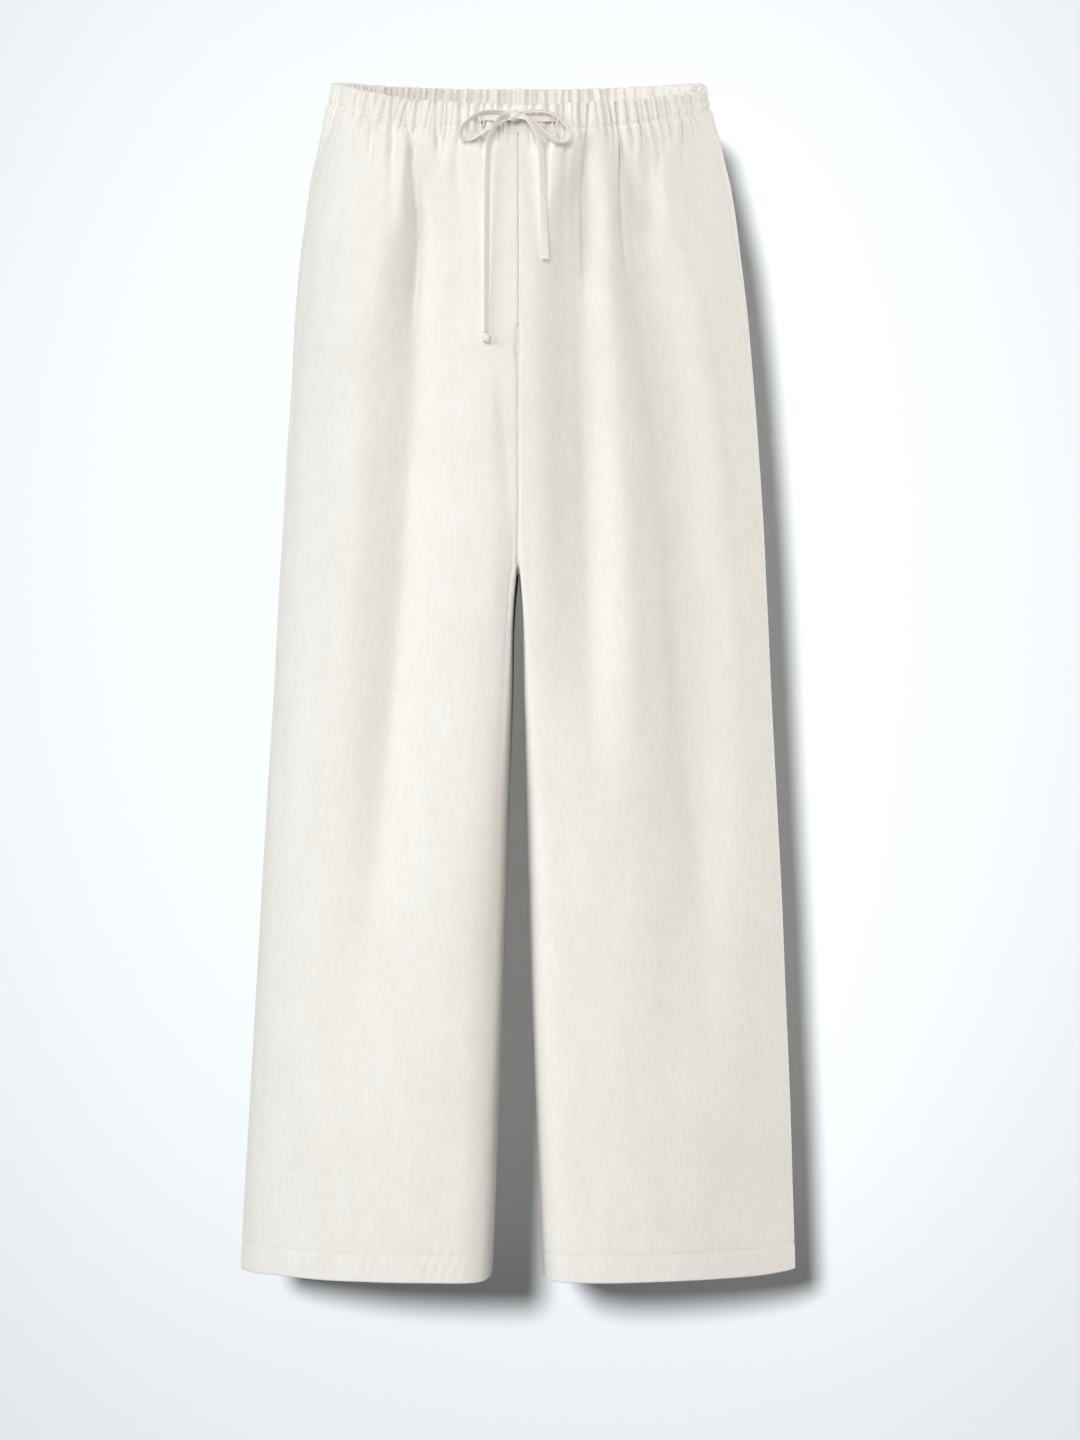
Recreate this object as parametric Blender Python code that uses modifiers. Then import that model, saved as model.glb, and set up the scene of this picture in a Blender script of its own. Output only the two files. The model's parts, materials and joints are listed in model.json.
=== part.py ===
"""Linen drawstring trousers, filled out as if worn, with nobody in them.

Metres, +Z up. The front faces -Y and the wearer's right leg is at -X. The origin is the centre of the
waist opening, where the wearer holds the garment up. Tables are in millimetres and degrees; a drop is
a distance below the origin. Every panel is a closed wall between an outer and an inner grid of points,
both worked out from the same body sections, folds and gathers, so that neighbours meet along one seam.
"""
import math

import bmesh
import bpy
import numpy as np

MM = 0.001
COLLECTION = "linen_drawstring_trousers"

# ---------------------------------------------------------------- driving dimensions, millimetres
OUTSEAM = 1032.0            # waist edge at the side down to the hem
CROTCH_DROP = 266.0         # waist edge at the side down to the crotch point
SEAM_GAP = 0.3              # between two neighbouring pieces
PANEL_WALL = 1.6            # cloth wall of a leg panel
HEM_WALL = 2.4              # doubled cloth of the hem turn-up
HEM_DEPTH = 22.0
BAND_WALL = 2.8             # casing: two layers of cloth and the elastic between them
INNER_SHARP = 10.0          # exponent of the inner corners where the legs touch
INNER_ROUND = 4.2           # and where they have parted
TOUCHING_TO_DROP = 425.0
ROUND_FROM_DROP = 640.0
RISE_HEIGHT = 46.0          # height over which the centre seams curve under to the crotch
RISE_CURVE = 1.7            # how late they turn under: 1 is a straight line
RISE_SOFTNESS = 12.0        # how softly a leg's inner face runs into the rise
LEGS_FROM_DROP = 95.0       # one torso section above this drop, two leg sections at the crotch
INNER_FACE_SHARE = 0.20     # share of a panel's points on its leg's inner face at the crotch
KNEE_SHARE = 0.16           # where on the inner corner that face is taken to end
INNER_FACE_FROM_DROP = 150.0
INNER_FACE_TO_DROP = 640.0
EDGE_FADE_DROP = 260.0      # the dip of the waist edge is gone at this drop
WAVES_PER_PANEL = 20        # gathers in a quarter of the waist
BAND_GATHER = 1.5           # half the height of a gather in the casing
PANEL_GATHER = 1.9          # half the height of a gather at the top of a panel
GATHER_REACH = 38.0         # how far below the casing a middling gather runs out
GATHER_REACH_CHANGE = 16.0  # and how much more or less the others do
GATHER_SIZE = 0.82          # height of a middling gather, as a share of the tallest
GATHER_SIZE_CHANGE = 0.18
GATHER_SHIFTS = ((0.16, 2.4, 1.0), (0.10, 5.1, 2.0))   # uneven spacing: share of a wave, rate, phase
GATHER_FULLNESS = 0.6       # under 1 gives broad crests and narrow grooves
GATHER_FADE = 1.4           # how early a gather dies away down the panel
FOLD_START_SHARE = 0.12     # share of a fold's length over which it deepens
FOLD_TOP_WIDTH = 0.4        # its width at the top, as a share of its full width
FOLD_WIDE_SHARE = 0.28      # share of its length over which it widens
FOLD_END_SHARE = 0.45       # share of its length over which it dies away
TROUGH_ROUND = 0.34         # how round the bottom of a trough is, as a share of its reach

# Body sections from the waist to the hem. out and in are the distances of the outline and of the
# inside of the leg from the middle plane; corner is how far outside its inside a leg stands out
# furthest; front and back are depths; roundness is the exponent of the outer part; seam is the turn of
# the side seam round the outer part, 90 at its widest point and less further forward.
SECTION_COLUMNS = ("drop", "right_out", "left_out", "right_in", "left_in", "right_corner",
                   "left_corner", "front", "back", "roundness", "right_seam", "left_seam")
SECTIONS = (
    (0, 162.5, 162.5, 0.15, 0.15, 16, 16, 104, 106, 2.20, 58, 68),
    (25, 167.5, 167.0, 0.15, 0.15, 16, 16, 107, 109, 2.20, 60, 68.5),
    (53, 174.0, 175.5, 0.15, 0.15, 16, 16, 112, 115, 2.20, 62, 69.5),
    (80, 180.5, 182.5, 0.15, 0.15, 16, 16, 116, 122, 2.18, 65, 71.5),
    (106, 184.5, 187.0, 0.15, 0.15, 14.5, 14.5, 119, 129, 2.16, 69, 74),
    (158, 191.0, 193.5, 0.15, 0.15, 9.5, 9.5, 122, 136, 2.12, 75, 78),
    (205, 195.0, 199.0, 0.15, 0.15, 6.5, 6.5, 121, 138, 2.10, 77, 82),
    (266, 198.5, 204.5, 0.15, 0.15, 4, 4, 118, 135, 2.06, 79, 84),
    (320, 202.5, 209.0, 0.15, 0.15, 4, 4, 114, 130, 2.02, 81, 85),
    (407, 207.5, 214.5, 0.30, 0.25, 5, 5, 110, 122, 1.98, 83, 86),
    (430, 209.0, 215.5, 1.10, 0.90, 7, 7, 109, 120, 1.96, 84, 86),
    (450, 210.0, 216.5, 3.10, 2.50, 10, 10, 108, 118, 1.95, 84, 86),
    (538, 214.5, 220.5, 6.00, 4.60, 26, 21, 105, 110, 1.91, 85, 87),
    (625, 220.0, 225.0, 8.70, 6.40, 36, 30, 103, 106, 1.88, 86, 87),
    (712, 225.0, 229.5, 11.4, 9.00, 47, 38, 102, 103, 1.85, 87, 88),
    (800, 230.0, 233.0, 14.4, 11.7, 50, 42, 101, 101, 1.82, 87, 88),
    (887, 235.0, 236.7, 18.0, 14.9, 49, 44, 101, 100, 1.79, 88, 88),
    (974, 240.0, 239.3, 21.0, 18.2, 47, 46, 100, 100, 1.77, 88, 88),
    (1032, 243.0, 241.2, 23.5, 20.2, 46, 46, 100, 100, 1.75, 88, 88),
)

# The waist edge round the body, 0 at the centre front and 180 at the centre back: its height over the
# origin on each side, and the casing's depth.
EDGE_COLUMNS = ("angle", "right", "left", "casing")
WAIST_EDGE = (
    (0, -34.0, -34.0, 24.5),
    (30, -26.5, -27.5, 22.0),
    (50, -15.5, -19.0, 19.5),
    (65, -7.0, -13.0, 18.5),
    (80, -1.5, -6.5, 18.5),
    (95, 3.0, 2.0, 19.0),
    (110, 7.5, 7.0, 20.5),
    (135, 11.0, 11.0, 22.5),
    (180, 13.0, 13.0, 24.5),
)

# The largest folds. A row is one trough (negative depth) or soft ridge down a panel: the drops where it
# starts and ends, its distance from the middle plane at its top, middle and end, how deep it is, and its
# reach towards the middle plane and away from it.
FOLD_COLUMNS = ("panel", "from_drop", "to_drop", "x_top", "x_mid", "x_end", "depth", "half_in",
                "half_out")
FOLDS = (
    ("front_right", 24, 960, 84, 108, 158, -24.5, 76, 50),
    ("front_right", 26, 150, 105, 109, 110, -3.5, 10, 10),
    ("front_right", 30, 330, 52, 50, 44, -4.5, 16, 24),
    ("front_right", 246, 800, 25, 26, 34, 4.0, 22, 62),
    ("front_right", 330, 1010, 62, 60, 66, 3.0, 44, 44),
    ("front_right", 70, 700, 142, 150, 160, 2.0, 28, 28),
    ("front_right", 370, 1030, 0, 0, 0, -6.0, 30, 44),
    ("front_left", 24, 650, 52, 57, 70, -21.5, 46, 52),
    ("front_left", 24, 930, 86, 148, 150, -24.5, 62, 52),
    ("front_left", 26, 160, 108, 116, 124, -4.5, 12, 12),
    ("front_left", 28, 190, 138, 147, 154, -4.5, 14, 14),
    ("front_left", 90, 720, 74, 84, 92, 4.0, 28, 30),
    ("front_left", 60, 930, 138, 188, 190, 3.0, 32, 20),
    ("back_right", 24, 640, 85, 92, 105, -12.0, 54, 34),
    ("back_right", 30, 940, 140, 152, 160, -8.0, 30, 44),
    ("back_right", 240, 760, 46, 52, 60, -4.0, 22, 34),
    ("back_left", 26, 900, 70, 86, 112, -13.0, 36, 58),
    ("back_left", 30, 430, 125, 137, 142, -7.0, 34, 24),
    ("back_left", 320, 980, 150, 134, 138, -6.5, 30, 44),
)

# Rings of points down a panel: the drop at the centre seam or inseam, and at the side seam.
# They crowd together at the crotch, where the rise curve turns under.
RINGS = (
    (86, 86), (112, 112), (140, 138), (168, 162), (192, 186), (212, 208), (230, 230), (245, 250),
    (257, 268), (266, 286), (284, 308), (318, 340), (372, 386), (430, 435), (460, 468), (540, 540),
    (625, 625), (715, 715), (810, 810), (905, 905), (1010, 1010), (1032, 1032),
)
GATHER_RINGS = (0.0, 9.0, 20.0, 36.0)    # below the casing, at full gather resolution
CASING_RINGS = (0.0, 0.5, 1.0)           # shares of the casing's depth
CASING_SEAM_DROP = 28.0                  # about where the casing seam lies, for the rings under it

# Each panel's face and side, -1 at the wearer's right.
PANELS = {
    "front_right": ("front", -1),
    "front_left": ("front", 1),
    "back_right": ("back", -1),
    "back_left": ("back", 1),
}


# ---------------------------------------------------------------- the cloth surface
def column(columns, rows, name, at):
    """One named column of a table as a smooth curve through its rows, read at the values `at`."""
    table = np.array(rows, dtype=float)
    xs = table[:, 0]
    ys = table[:, columns.index(name)]
    slopes = np.gradient(ys, xs)
    index = np.clip(np.searchsorted(xs, at) - 1, 0, len(xs) - 2)
    step = xs[index + 1] - xs[index]
    q = np.clip((at - xs[index]) / step, 0.0, 1.0)
    return (ys[index] * (1 + 2 * q) * (1 - q) ** 2 + slopes[index] * step * q * (1 - q) ** 2
            + ys[index + 1] * (3 - 2 * q) * q ** 2 - slopes[index + 1] * step * q ** 2 * (1 - q))


def smooth_step(q):
    q = np.clip(q, 0.0, 1.0)
    return q * q * (3 - 2 * q)


def smoother_step(q):
    """As smooth_step, and without a sudden bend at either end."""
    q = np.clip(q, 0.0, 1.0)
    return q ** 3 * (q * (6 * q - 15) + 10)


def body(name, drop):
    return column(SECTION_COLUMNS, SECTIONS, name, drop)


def side_name(side):
    return "right" if side < 0 else "left"


TURNS = np.radians(np.linspace(-90.0, 90.0, 361))      # round the front, or the back, of a section
LEVEL_STEP = 2.0
LEVELS = np.arange(0.0, OUTSEAM + LEVEL_STEP, LEVEL_STEP)
SHARES = np.linspace(0.0, 1.0, 193)


def inner_squareness(level):
    """The exponent of a section's inner corner: sharp where the legs touch, rounder below."""
    apart = float(smooth_step((level - TOUCHING_TO_DROP) / (ROUND_FROM_DROP - TOUCHING_TO_DROP)))
    return INNER_SHARP + (INNER_ROUND - INNER_SHARP) * apart


def section_depth(side, face, x, level):
    """How far the front or back of a section stands out at the distances x from the middle plane."""
    name = side_name(side)
    outer = float(body(name + "_out", level))
    inner = float(body(name + "_in", level))
    corner = float(body(name + "_corner", level))
    depth = float(body(face, level))
    roundness = float(body("roundness", level))
    crest = inner + corner
    squareness = inner_squareness(level)
    inside = np.clip((crest - x) / corner, 0.0, 1.0)
    outside = np.clip((x - crest) / (outer - crest), 0.0, 1.0)
    leg = (depth * (1 - inside ** squareness) ** (1 / squareness)
           * (1 - outside ** roundness) ** (1 / roundness))
    torso = depth * (1 - np.clip(x / outer, 0.0, 1.0) ** roundness) ** (1 / roundness)
    if level >= CROTCH_DROP:
        return leg
    if level <= LEGS_FROM_DROP:
        return torso
    legs_part = float(smoother_step((level - LEGS_FROM_DROP) / (CROTCH_DROP - LEGS_FROM_DROP)))
    climb = np.clip((CROTCH_DROP - level) / RISE_HEIGHT, 0.0, 1.0)
    turned_under = (1.0 - climb) ** RISE_CURVE
    web = depth * max(0.0, 1.0 - turned_under / max(legs_part, turned_under))
    soft = RISE_SOFTNESS * 4.0 * (web / depth) * (1.0 - web / depth) + 0.01
    near = np.clip(1.0 - np.abs(leg - web) / soft, 0.0, 1.0)
    bridged = np.where(x < crest, np.maximum(leg, web) + near ** 2 * soft / 4, leg)
    return torso * (1 - legs_part) + bridged * legs_part


def half_section(side, level):
    """One side's section, from the inner front round the outside to the inner back."""
    name = side_name(side)
    outer = float(body(name + "_out", level))
    inner = float(body(name + "_in", level))
    crest = inner + float(body(name + "_corner", level))
    turn = np.sin(TURNS)
    x = np.where(turn < 0, crest + turn * (crest - inner), crest + turn * (outer - crest))
    front = section_depth(side, "front", x, level)
    back = section_depth(side, "back", x, level)
    return np.concatenate([x, x[-2::-1]]), np.concatenate([-front, back[-2::-1]])


def spread_points(x, y, corner, level):
    """Points spread along a stretch of a section, fewer of them on the inner face by the crotch."""
    along = np.concatenate([[0.0], np.cumsum(np.hypot(np.diff(x), np.diff(y)))])
    widest = np.argmax(x) + 1
    at_corner = np.interp(x[0] + KNEE_SHARE * corner, x[:widest], along[:widest])
    even = at_corner / along[-1]
    pull = (smooth_step((level - INNER_FACE_FROM_DROP) / (CROTCH_DROP - INNER_FACE_FROM_DROP))
            * smooth_step((INNER_FACE_TO_DROP - level) / (INNER_FACE_TO_DROP - CROTCH_DROP)))
    knee = even + (min(even, INNER_FACE_SHARE) - even) * pull
    wanted = np.interp(SHARES, [0.0, knee, 1.0], [0.0, at_corner, along[-1]])
    return np.column_stack([np.interp(wanted, along, x), np.interp(wanted, along, y)])


def panel_grid(panel):
    """The panel's smooth form as x and y at every level and every share of its width."""
    face, side = PANELS[panel]
    name = side_name(side)
    rows = []
    for level in np.minimum(LEVELS, OUTSEAM):
        x, y = half_section(side, level)
        turn = float(body(name + "_seam", level)) + 90.0
        place = turn / 180.0 * (len(TURNS) - 1)
        places = np.arange(len(x), dtype=float)
        start = 0.0 if face == "front" else places[-1]
        fine = np.linspace(start, place, 4 * len(SHARES))
        corner = float(body(name + "_corner", level))
        rows.append(spread_points(np.interp(fine, places, x), np.interp(fine, places, y),
                                  corner, level))
    return np.array(rows)


GRIDS = {panel: panel_grid(panel) for panel in PANELS}


def read_grid(grid, share, level):
    """Reads a panel's grid between its points."""
    across = np.clip(share, 0.0, 1.0) * (len(SHARES) - 1)
    down = np.clip(level / LEVEL_STEP, 0.0, len(LEVELS) - 1)
    i = np.minimum(across.astype(int), len(SHARES) - 2)
    j = np.minimum(down.astype(int), len(LEVELS) - 2)
    u = (across - i)[..., None]
    v = (down - j)[..., None]
    upper = grid[j, i] * (1 - u) + grid[j, i + 1] * u
    lower = grid[j + 1, i] * (1 - u) + grid[j + 1, i + 1] * u
    return upper * (1 - v) + lower * v


def waist_angle(panel, share):
    """Where a share of a panel lies round the waist: 0 at the centre front, 180 at the centre back."""
    side = PANELS[panel][1]
    xy = read_grid(GRIDS[panel], share, np.zeros(np.shape(share)))
    outer = float(body(side_name(side) + "_out", 0.0))
    depth = np.where(xy[..., 1] < 0, float(body("front", 0.0)), float(body("back", 0.0)))
    return np.degrees(np.arctan2(xy[..., 0] / outer, -xy[..., 1] / depth))


def base_surface(panel, share, drop):
    """The smooth cloth, with no fold or gather, at a share of a panel and a drop."""
    side = PANELS[panel][1]
    dip = column(EDGE_COLUMNS, WAIST_EDGE, side_name(side), waist_angle(panel, share))
    height = -drop + dip * (1.0 - smoother_step(drop / EDGE_FADE_DROP))
    xy = read_grid(GRIDS[panel], share, -height)
    return np.stack([side * np.maximum(xy[..., 0], SEAM_GAP / 2), xy[..., 1], height], axis=-1)


def base_normal(panel, share, drop):
    """Outward normals of the smooth cloth, by small steps along and down the panel."""
    face, side = PANELS[panel]
    step_share = 1.5 / len(SHARES)
    step_drop = 1.5 * LEVEL_STEP
    share_low = np.clip(share - step_share, 0.0, 1.0)
    share_high = np.clip(share + step_share, 0.0, 1.0)
    along = base_surface(panel, share_high, drop) - base_surface(panel, share_low, drop)
    down = base_surface(panel, share, drop + step_drop) - base_surface(panel, share, drop - step_drop)
    turn = side if face == "front" else -side
    normal = np.cross(along, down) * -turn
    on_centre_seam = (share <= 0.0) & (drop < CROTCH_DROP - 0.5)
    normal[..., 0] = np.where(on_centre_seam, 0.0, normal[..., 0])
    normal[..., 2] -= 1e-6
    at_crotch = (share <= 0.0) & (np.abs(drop - CROTCH_DROP) <= 0.5)
    under = np.array([-side * 0.7, 0.0, -0.7])
    normal = np.where(at_crotch[..., None], under, normal)
    return normal / np.linalg.norm(normal, axis=-1, keepdims=True)


def gather_starts(panel):
    """Where each gather of a panel starts, as shares of its width, unevenly spaced."""
    count = np.arange(WAVES_PER_PANEL + 1)
    own = 1.3 * list(PANELS).index(panel)
    shift = sum(size * np.sin(rate * count + own * turns) for size, rate, turns in GATHER_SHIFTS)
    shift[0] = 0.0
    shift[-1] = 0.0
    return (count + shift) / WAVES_PER_PANEL


def gather_height(panel, share):
    """The gathers from -1 in a narrow groove to +1 on a broad crest, and how far down each reaches."""
    starts = gather_starts(panel)
    wave = np.clip(np.searchsorted(starts, share, side="right") - 1, 0, WAVES_PER_PANEL - 1)
    phase = np.clip((share - starts[wave]) / (starts[wave + 1] - starts[wave]), 0.0, 1.0)
    size = GATHER_SIZE + GATHER_SIZE_CHANGE * np.sin(1.7 * wave + 0.9 * list(PANELS).index(panel))
    reach = GATHER_REACH + GATHER_REACH_CHANGE * np.sin(2.9 * wave + 0.5)
    crest = np.abs(np.sin(np.pi * phase)) ** GATHER_FULLNESS
    return (2.0 * crest * size - 1.0), reach


def trough_profile(off):
    """1 at the bottom of a trough and 0 at its reach: steepest near the bottom, which is rounded."""
    rounded = np.sqrt(off ** 2 + TROUGH_ROUND ** 2) - TROUGH_ROUND
    return (1 - rounded / (math.sqrt(1 + TROUGH_ROUND ** 2) - TROUGH_ROUND)) ** 2


def fold_height(panel, x, drop):
    """All the large folds of a panel at a place, in millimetres along the normal."""
    total = np.zeros(np.shape(x))
    for row in FOLDS:
        fold = dict(zip(FOLD_COLUMNS, row))
        if fold["panel"] != panel:
            continue
        q = (drop - fold["from_drop"]) / (fold["to_drop"] - fold["from_drop"])
        inside = np.clip(q, 0.0, 1.0)
        centre = (fold["x_top"] * (1 - inside) * (1 - 2 * inside)
                  + fold["x_mid"] * 4 * inside * (1 - inside)
                  + fold["x_end"] * inside * (2 * inside - 1))
        strength = smooth_step(inside / FOLD_START_SHARE) * smooth_step((1 - inside) / FOLD_END_SHARE)
        width = FOLD_TOP_WIDTH + (1 - FOLD_TOP_WIDTH) * smooth_step(inside / FOLD_WIDE_SHARE)
        off = (np.abs(x) - centre) / width
        off = np.clip(np.where(off < 0, -off / fold["half_in"], off / fold["half_out"]), 0.0, 1.0)
        profile = trough_profile(off) if fold["depth"] < 0 else (1 - off ** 2) ** 2
        total += fold["depth"] * strength * profile
    return total


def cloth_point(panel, share, drop, below_casing, amplitude):
    """A point of the outer face, and the direction in which the wall is thick."""
    side = PANELS[panel][1]
    share, drop, below_casing = np.broadcast_arrays(share, drop, below_casing)
    point = base_surface(panel, share, drop)
    normal = base_normal(panel, share, drop)
    wave, reach = gather_height(panel, share)
    fade = np.clip(1.0 - below_casing / reach, 0.0, 1.0) ** GATHER_FADE
    faces_out = smooth_step((np.abs(normal[..., 1]) - 0.15) / 0.5)
    off_edges = smooth_step(share / 0.05) * smooth_step((1 - share) / 0.08)
    folds = fold_height(panel, point[..., 0], drop) * faces_out * off_edges
    push = amplitude * wave * fade + folds
    point = point + normal * push[..., None]
    point[..., 0] = side * np.maximum(side * point[..., 0], SEAM_GAP / 2)
    return point, normal


def part_the_seams(points, panel, share):
    """Draws a panel back by half a seam gap at its inseam and at its side seam."""
    forwards = -1.0 if PANELS[panel][0] == "front" else 1.0
    at_edge = (share <= 0.0) | (share >= 1.0)
    points[..., 1] += np.where(at_edge, forwards * SEAM_GAP / 2, 0.0)
    return points


def casing_depth(panel, share):
    """The casing's depth above a share of the panel."""
    return column(EDGE_COLUMNS, WAIST_EDGE, "casing", waist_angle(panel, share))


# ---------------------------------------------------------------- meshes
def new_material(name, colour, roughness):
    material = bpy.data.materials.new(name)
    material.use_nodes = True
    shader = material.node_tree.nodes["Principled BSDF"]
    shader.inputs["Base Color"].default_value = (*colour, 1.0)
    shader.inputs["Roughness"].default_value = roughness
    shader.inputs["Metallic"].default_value = 0.0
    return material


def add_object(name, mesh, material):
    item = bpy.data.objects.new(name, mesh)
    item.data.materials.append(material)
    bpy.data.collections[COLLECTION].objects.link(item)
    return item


def grid_faces(rows):
    """Faces of a stack of point rows. A row may have a third of the points of the row above it."""
    faces = []
    for upper, lower in zip(rows[:-1], rows[1:]):
        step = (len(upper) - 1) // (len(lower) - 1)
        for cell in range(len(lower) - 1):
            top = upper[cell * step:(cell + 1) * step + 1]
            faces.append(list(top) + [lower[cell + 1], lower[cell]])
    return faces


def wall(name, outer_rows, inner_rows, material):
    """A closed wall from rows of outer and inner points, top to bottom."""
    shell = bmesh.new()
    outer = [[shell.verts.new(point * MM) for point in row] for row in outer_rows]
    inner = [[shell.verts.new(point * MM) for point in row] for row in inner_rows]
    for face in grid_faces(outer):
        shell.faces.new(face)
    for face in grid_faces(inner):
        shell.faces.new(face[::-1])
    for end, turn in ((0, 1), (-1, -1)):
        for cell in range(len(outer[end]) - 1):
            rim = [outer[end][cell], inner[end][cell], inner[end][cell + 1], outer[end][cell + 1]]
            shell.faces.new(rim[::turn])
    for end, turn in ((0, -1), (-1, 1)):
        for row in range(len(outer) - 1):
            rim = [outer[row][end], inner[row][end], inner[row + 1][end], outer[row + 1][end]]
            shell.faces.new(rim[::turn])
    bmesh.ops.triangulate(shell, faces=shell.faces)
    if shell.calc_volume(signed=True) < 0:
        bmesh.ops.reverse_faces(shell, faces=shell.faces)
    mesh = bpy.data.meshes.new(name)
    shell.to_mesh(mesh)
    shell.free()
    mesh.shade_smooth()
    return add_object(name, mesh, material)


def gather_columns(panel):
    """Three points to a gather: one in its groove and two on its crest."""
    starts = gather_starts(panel)
    shares = []
    for low, high in zip(starts[:-1], starts[1:]):
        shares += [low, low + 0.30 * (high - low), low + 0.70 * (high - low)]
    return np.array(shares + [1.0])


def leg_panel(panel, material):
    fine = gather_columns(panel)
    coarse = fine[::3]
    outer_rows = []
    inner_rows = []

    def add_row(share, drop, below_casing, thickness):
        outer, normal = cloth_point(panel, share, drop, below_casing, PANEL_GATHER)
        inner = outer - normal * thickness
        side = PANELS[panel][1]
        inner[..., 0] = side * np.maximum(side * inner[..., 0], SEAM_GAP / 2)
        outer_rows.append(part_the_seams(outer, panel, share))
        inner_rows.append(part_the_seams(inner, panel, share))

    for below in GATHER_RINGS:
        drop = casing_depth(panel, fine) + SEAM_GAP + below
        add_row(fine, drop, below, PANEL_WALL)
    for inner_drop, side_drop in RINGS:
        drop = inner_drop + (side_drop - inner_drop) * smooth_step(coarse / 0.8)
        thickness = HEM_WALL if inner_drop > OUTSEAM - HEM_DEPTH - 1 else PANEL_WALL
        add_row(coarse, drop, inner_drop - CASING_SEAM_DROP, thickness)
    return wall(panel, outer_rows, inner_rows, material)


def waistband(name, right_panel, left_panel, material):
    """A casing from side seam to side seam, with the gathers of the two panels under it."""
    outer_rows = []
    inner_rows = []
    for share_down in CASING_RINGS:
        outer_row = []
        inner_row = []
        for panel in (right_panel, left_panel):
            share = gather_columns(panel)
            drop = casing_depth(panel, share) * share_down
            outer, normal = cloth_point(panel, share, drop, np.zeros_like(share), BAND_GATHER)
            inner = outer - normal * BAND_WALL
            outer = part_the_seams(outer, panel, share)
            inner = part_the_seams(inner, panel, share)
            order = slice(None, 0, -1) if panel == right_panel else slice(1, None)
            outer_row.append(outer[order])
            inner_row.append(inner[order])
        middle_outer = np.mean([outer_row[0][-1], outer_row[1][0]], axis=0) * [0, 1, 1]
        middle_inner = np.mean([inner_row[0][-1], inner_row[1][0]], axis=0) * [0, 1, 1]
        outer_rows.append(np.vstack([outer_row[0], middle_outer, outer_row[1]]))
        inner_rows.append(np.vstack([inner_row[0], middle_inner, inner_row[1]]))
    return wall(name, outer_rows, inner_rows, material)


# ---------------------------------------------------------------- drawstring
TIE_WIDTH = 7.0
TIE_THICKNESS = 1.5

# Routes of the flat tie. A row is one point of a smooth curve: x, drop, the distance of the tie's middle
# from the cloth behind it, and the turn of its flat side: 0 lies flat on the cloth, 90 stands on edge.
ROUTE_COLUMNS = ("x", "drop", "stand_off", "turn")
TIE_ROUTES = {
    "drawstring_lead_right": (
        (-28.0, 46.0, 2.7, 0), (-20.0, 46.3, 2.7, 0), (-13.0, 46.4, 2.8, 0), (-8.6, 46.2, 2.8, 0),
    ),
    "drawstring_lead_left": (
        (28.0, 47.0, 2.7, 0), (20.0, 47.2, 2.7, 0), (10.0, 47.0, 2.8, 0), (2.8, 46.5, 2.8, 0),
    ),
    "drawstring_loop_right": (
        (-9.3, 43.8, 8.2, 90), (-14.0, 42.8, 8.2, 90), (-21.0, 42.3, 8.2, 90), (-29.0, 42.3, 8.0, 90),
        (-37.0, 45.0, 7.4, 90), (-44.0, 50.5, 6.6, 90), (-48.6, 57.5, 6.4, 90), (-48.8, 62.8, 6.2, 90),
        (-45.5, 65.6, 6.2, 90), (-40.0, 65.8, 6.2, 90), (-34.0, 62.6, 6.4, 90), (-28.0, 57.5, 6.8, 90),
        (-20.0, 54.0, 7.8, 90), (-13.5, 51.4, 8.2, 90), (-9.3, 49.0, 8.2, 90),
    ),
    "drawstring_loop_left": (
        (3.3, 43.4, 8.2, 90), (9.0, 42.4, 8.2, 90), (16.0, 42.0, 8.2, 90), (25.0, 42.0, 8.5, 90),
        (32.0, 44.4, 8.0, 90), (38.0, 50.0, 6.6, 90), (43.0, 57.0, 6.4, 90), (44.4, 63.6, 6.2, 90),
        (41.4, 68.4, 6.2, 90), (36.0, 69.6, 6.2, 90), (29.6, 67.2, 6.4, 90), (22.0, 60.6, 6.8, 90),
        (15.0, 52.6, 8.0, 90), (8.4, 47.6, 8.2, 90), (3.3, 46.6, 8.2, 90),
    ),
    "drawstring_tail_right": (
        (-9.6, 46.2, 13.2, 0), (-12.4, 46.4, 13.8, 4), (-15.7, 48.4, 14.2, 4), (-19.7, 53.6, 14.2, 10),
        (-22.8, 60.5, 13.2, 30), (-25.3, 69.0, 10.6, 50), (-26.2, 80.0, 9.0, 50), (-26.8, 99.0, 7.0, 50),
        (-27.0, 120.0, 6.2, 48), (-27.0, 145.0, 5.6, 48), (-27.0, 175.0, 5.4, 46), (-27.1, 202.0, 5.4, 45),
        (-27.2, 228.35, 5.6, 45),
    ),
    "drawstring_tail_left": (
        (4.2, 47.4, 13.2, 0), (6.8, 48.2, 13.8, 0), (11.0, 53.4, 13.8, 0), (15.6, 60.5, 12.4, 0),
        (18.2, 69.0, 11.4, 0), (19.4, 80.0, 9.6, 0), (20.1, 95.0, 7.6, 5), (20.5, 108.0, 6.2, 12),
        (21.2, 128.0, 5.0, 8), (21.9, 150.0, 4.2, 0), (22.8, 168.0, 3.6, 0),
    ),
}
KNOT = {"x": -3.0, "drop": 46.6, "stand_off": 8.2, "width": 10.4, "depth": 12.4, "height": 11.0}
END_KNOT = {"x": -27.2, "drop": 233.4, "stand_off": 6.0, "width": 8.0, "depth": 7.0, "height": 9.4}
KNOT_CREASE = 0.55          # how much of its cage's squareness a knot keeps
TIE_SPACING = 3.6           # between two sections of a tie, at its loops
TAIL_SPACING = 6.0          # and along its free ends


def front_of_cloth(x, drop):
    """Where the smooth front of the cloth is at a place, in millimetres along Y."""
    return -float(section_depth(-1 if x < 0 else 1, "front", np.array(abs(x)), drop))


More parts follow.
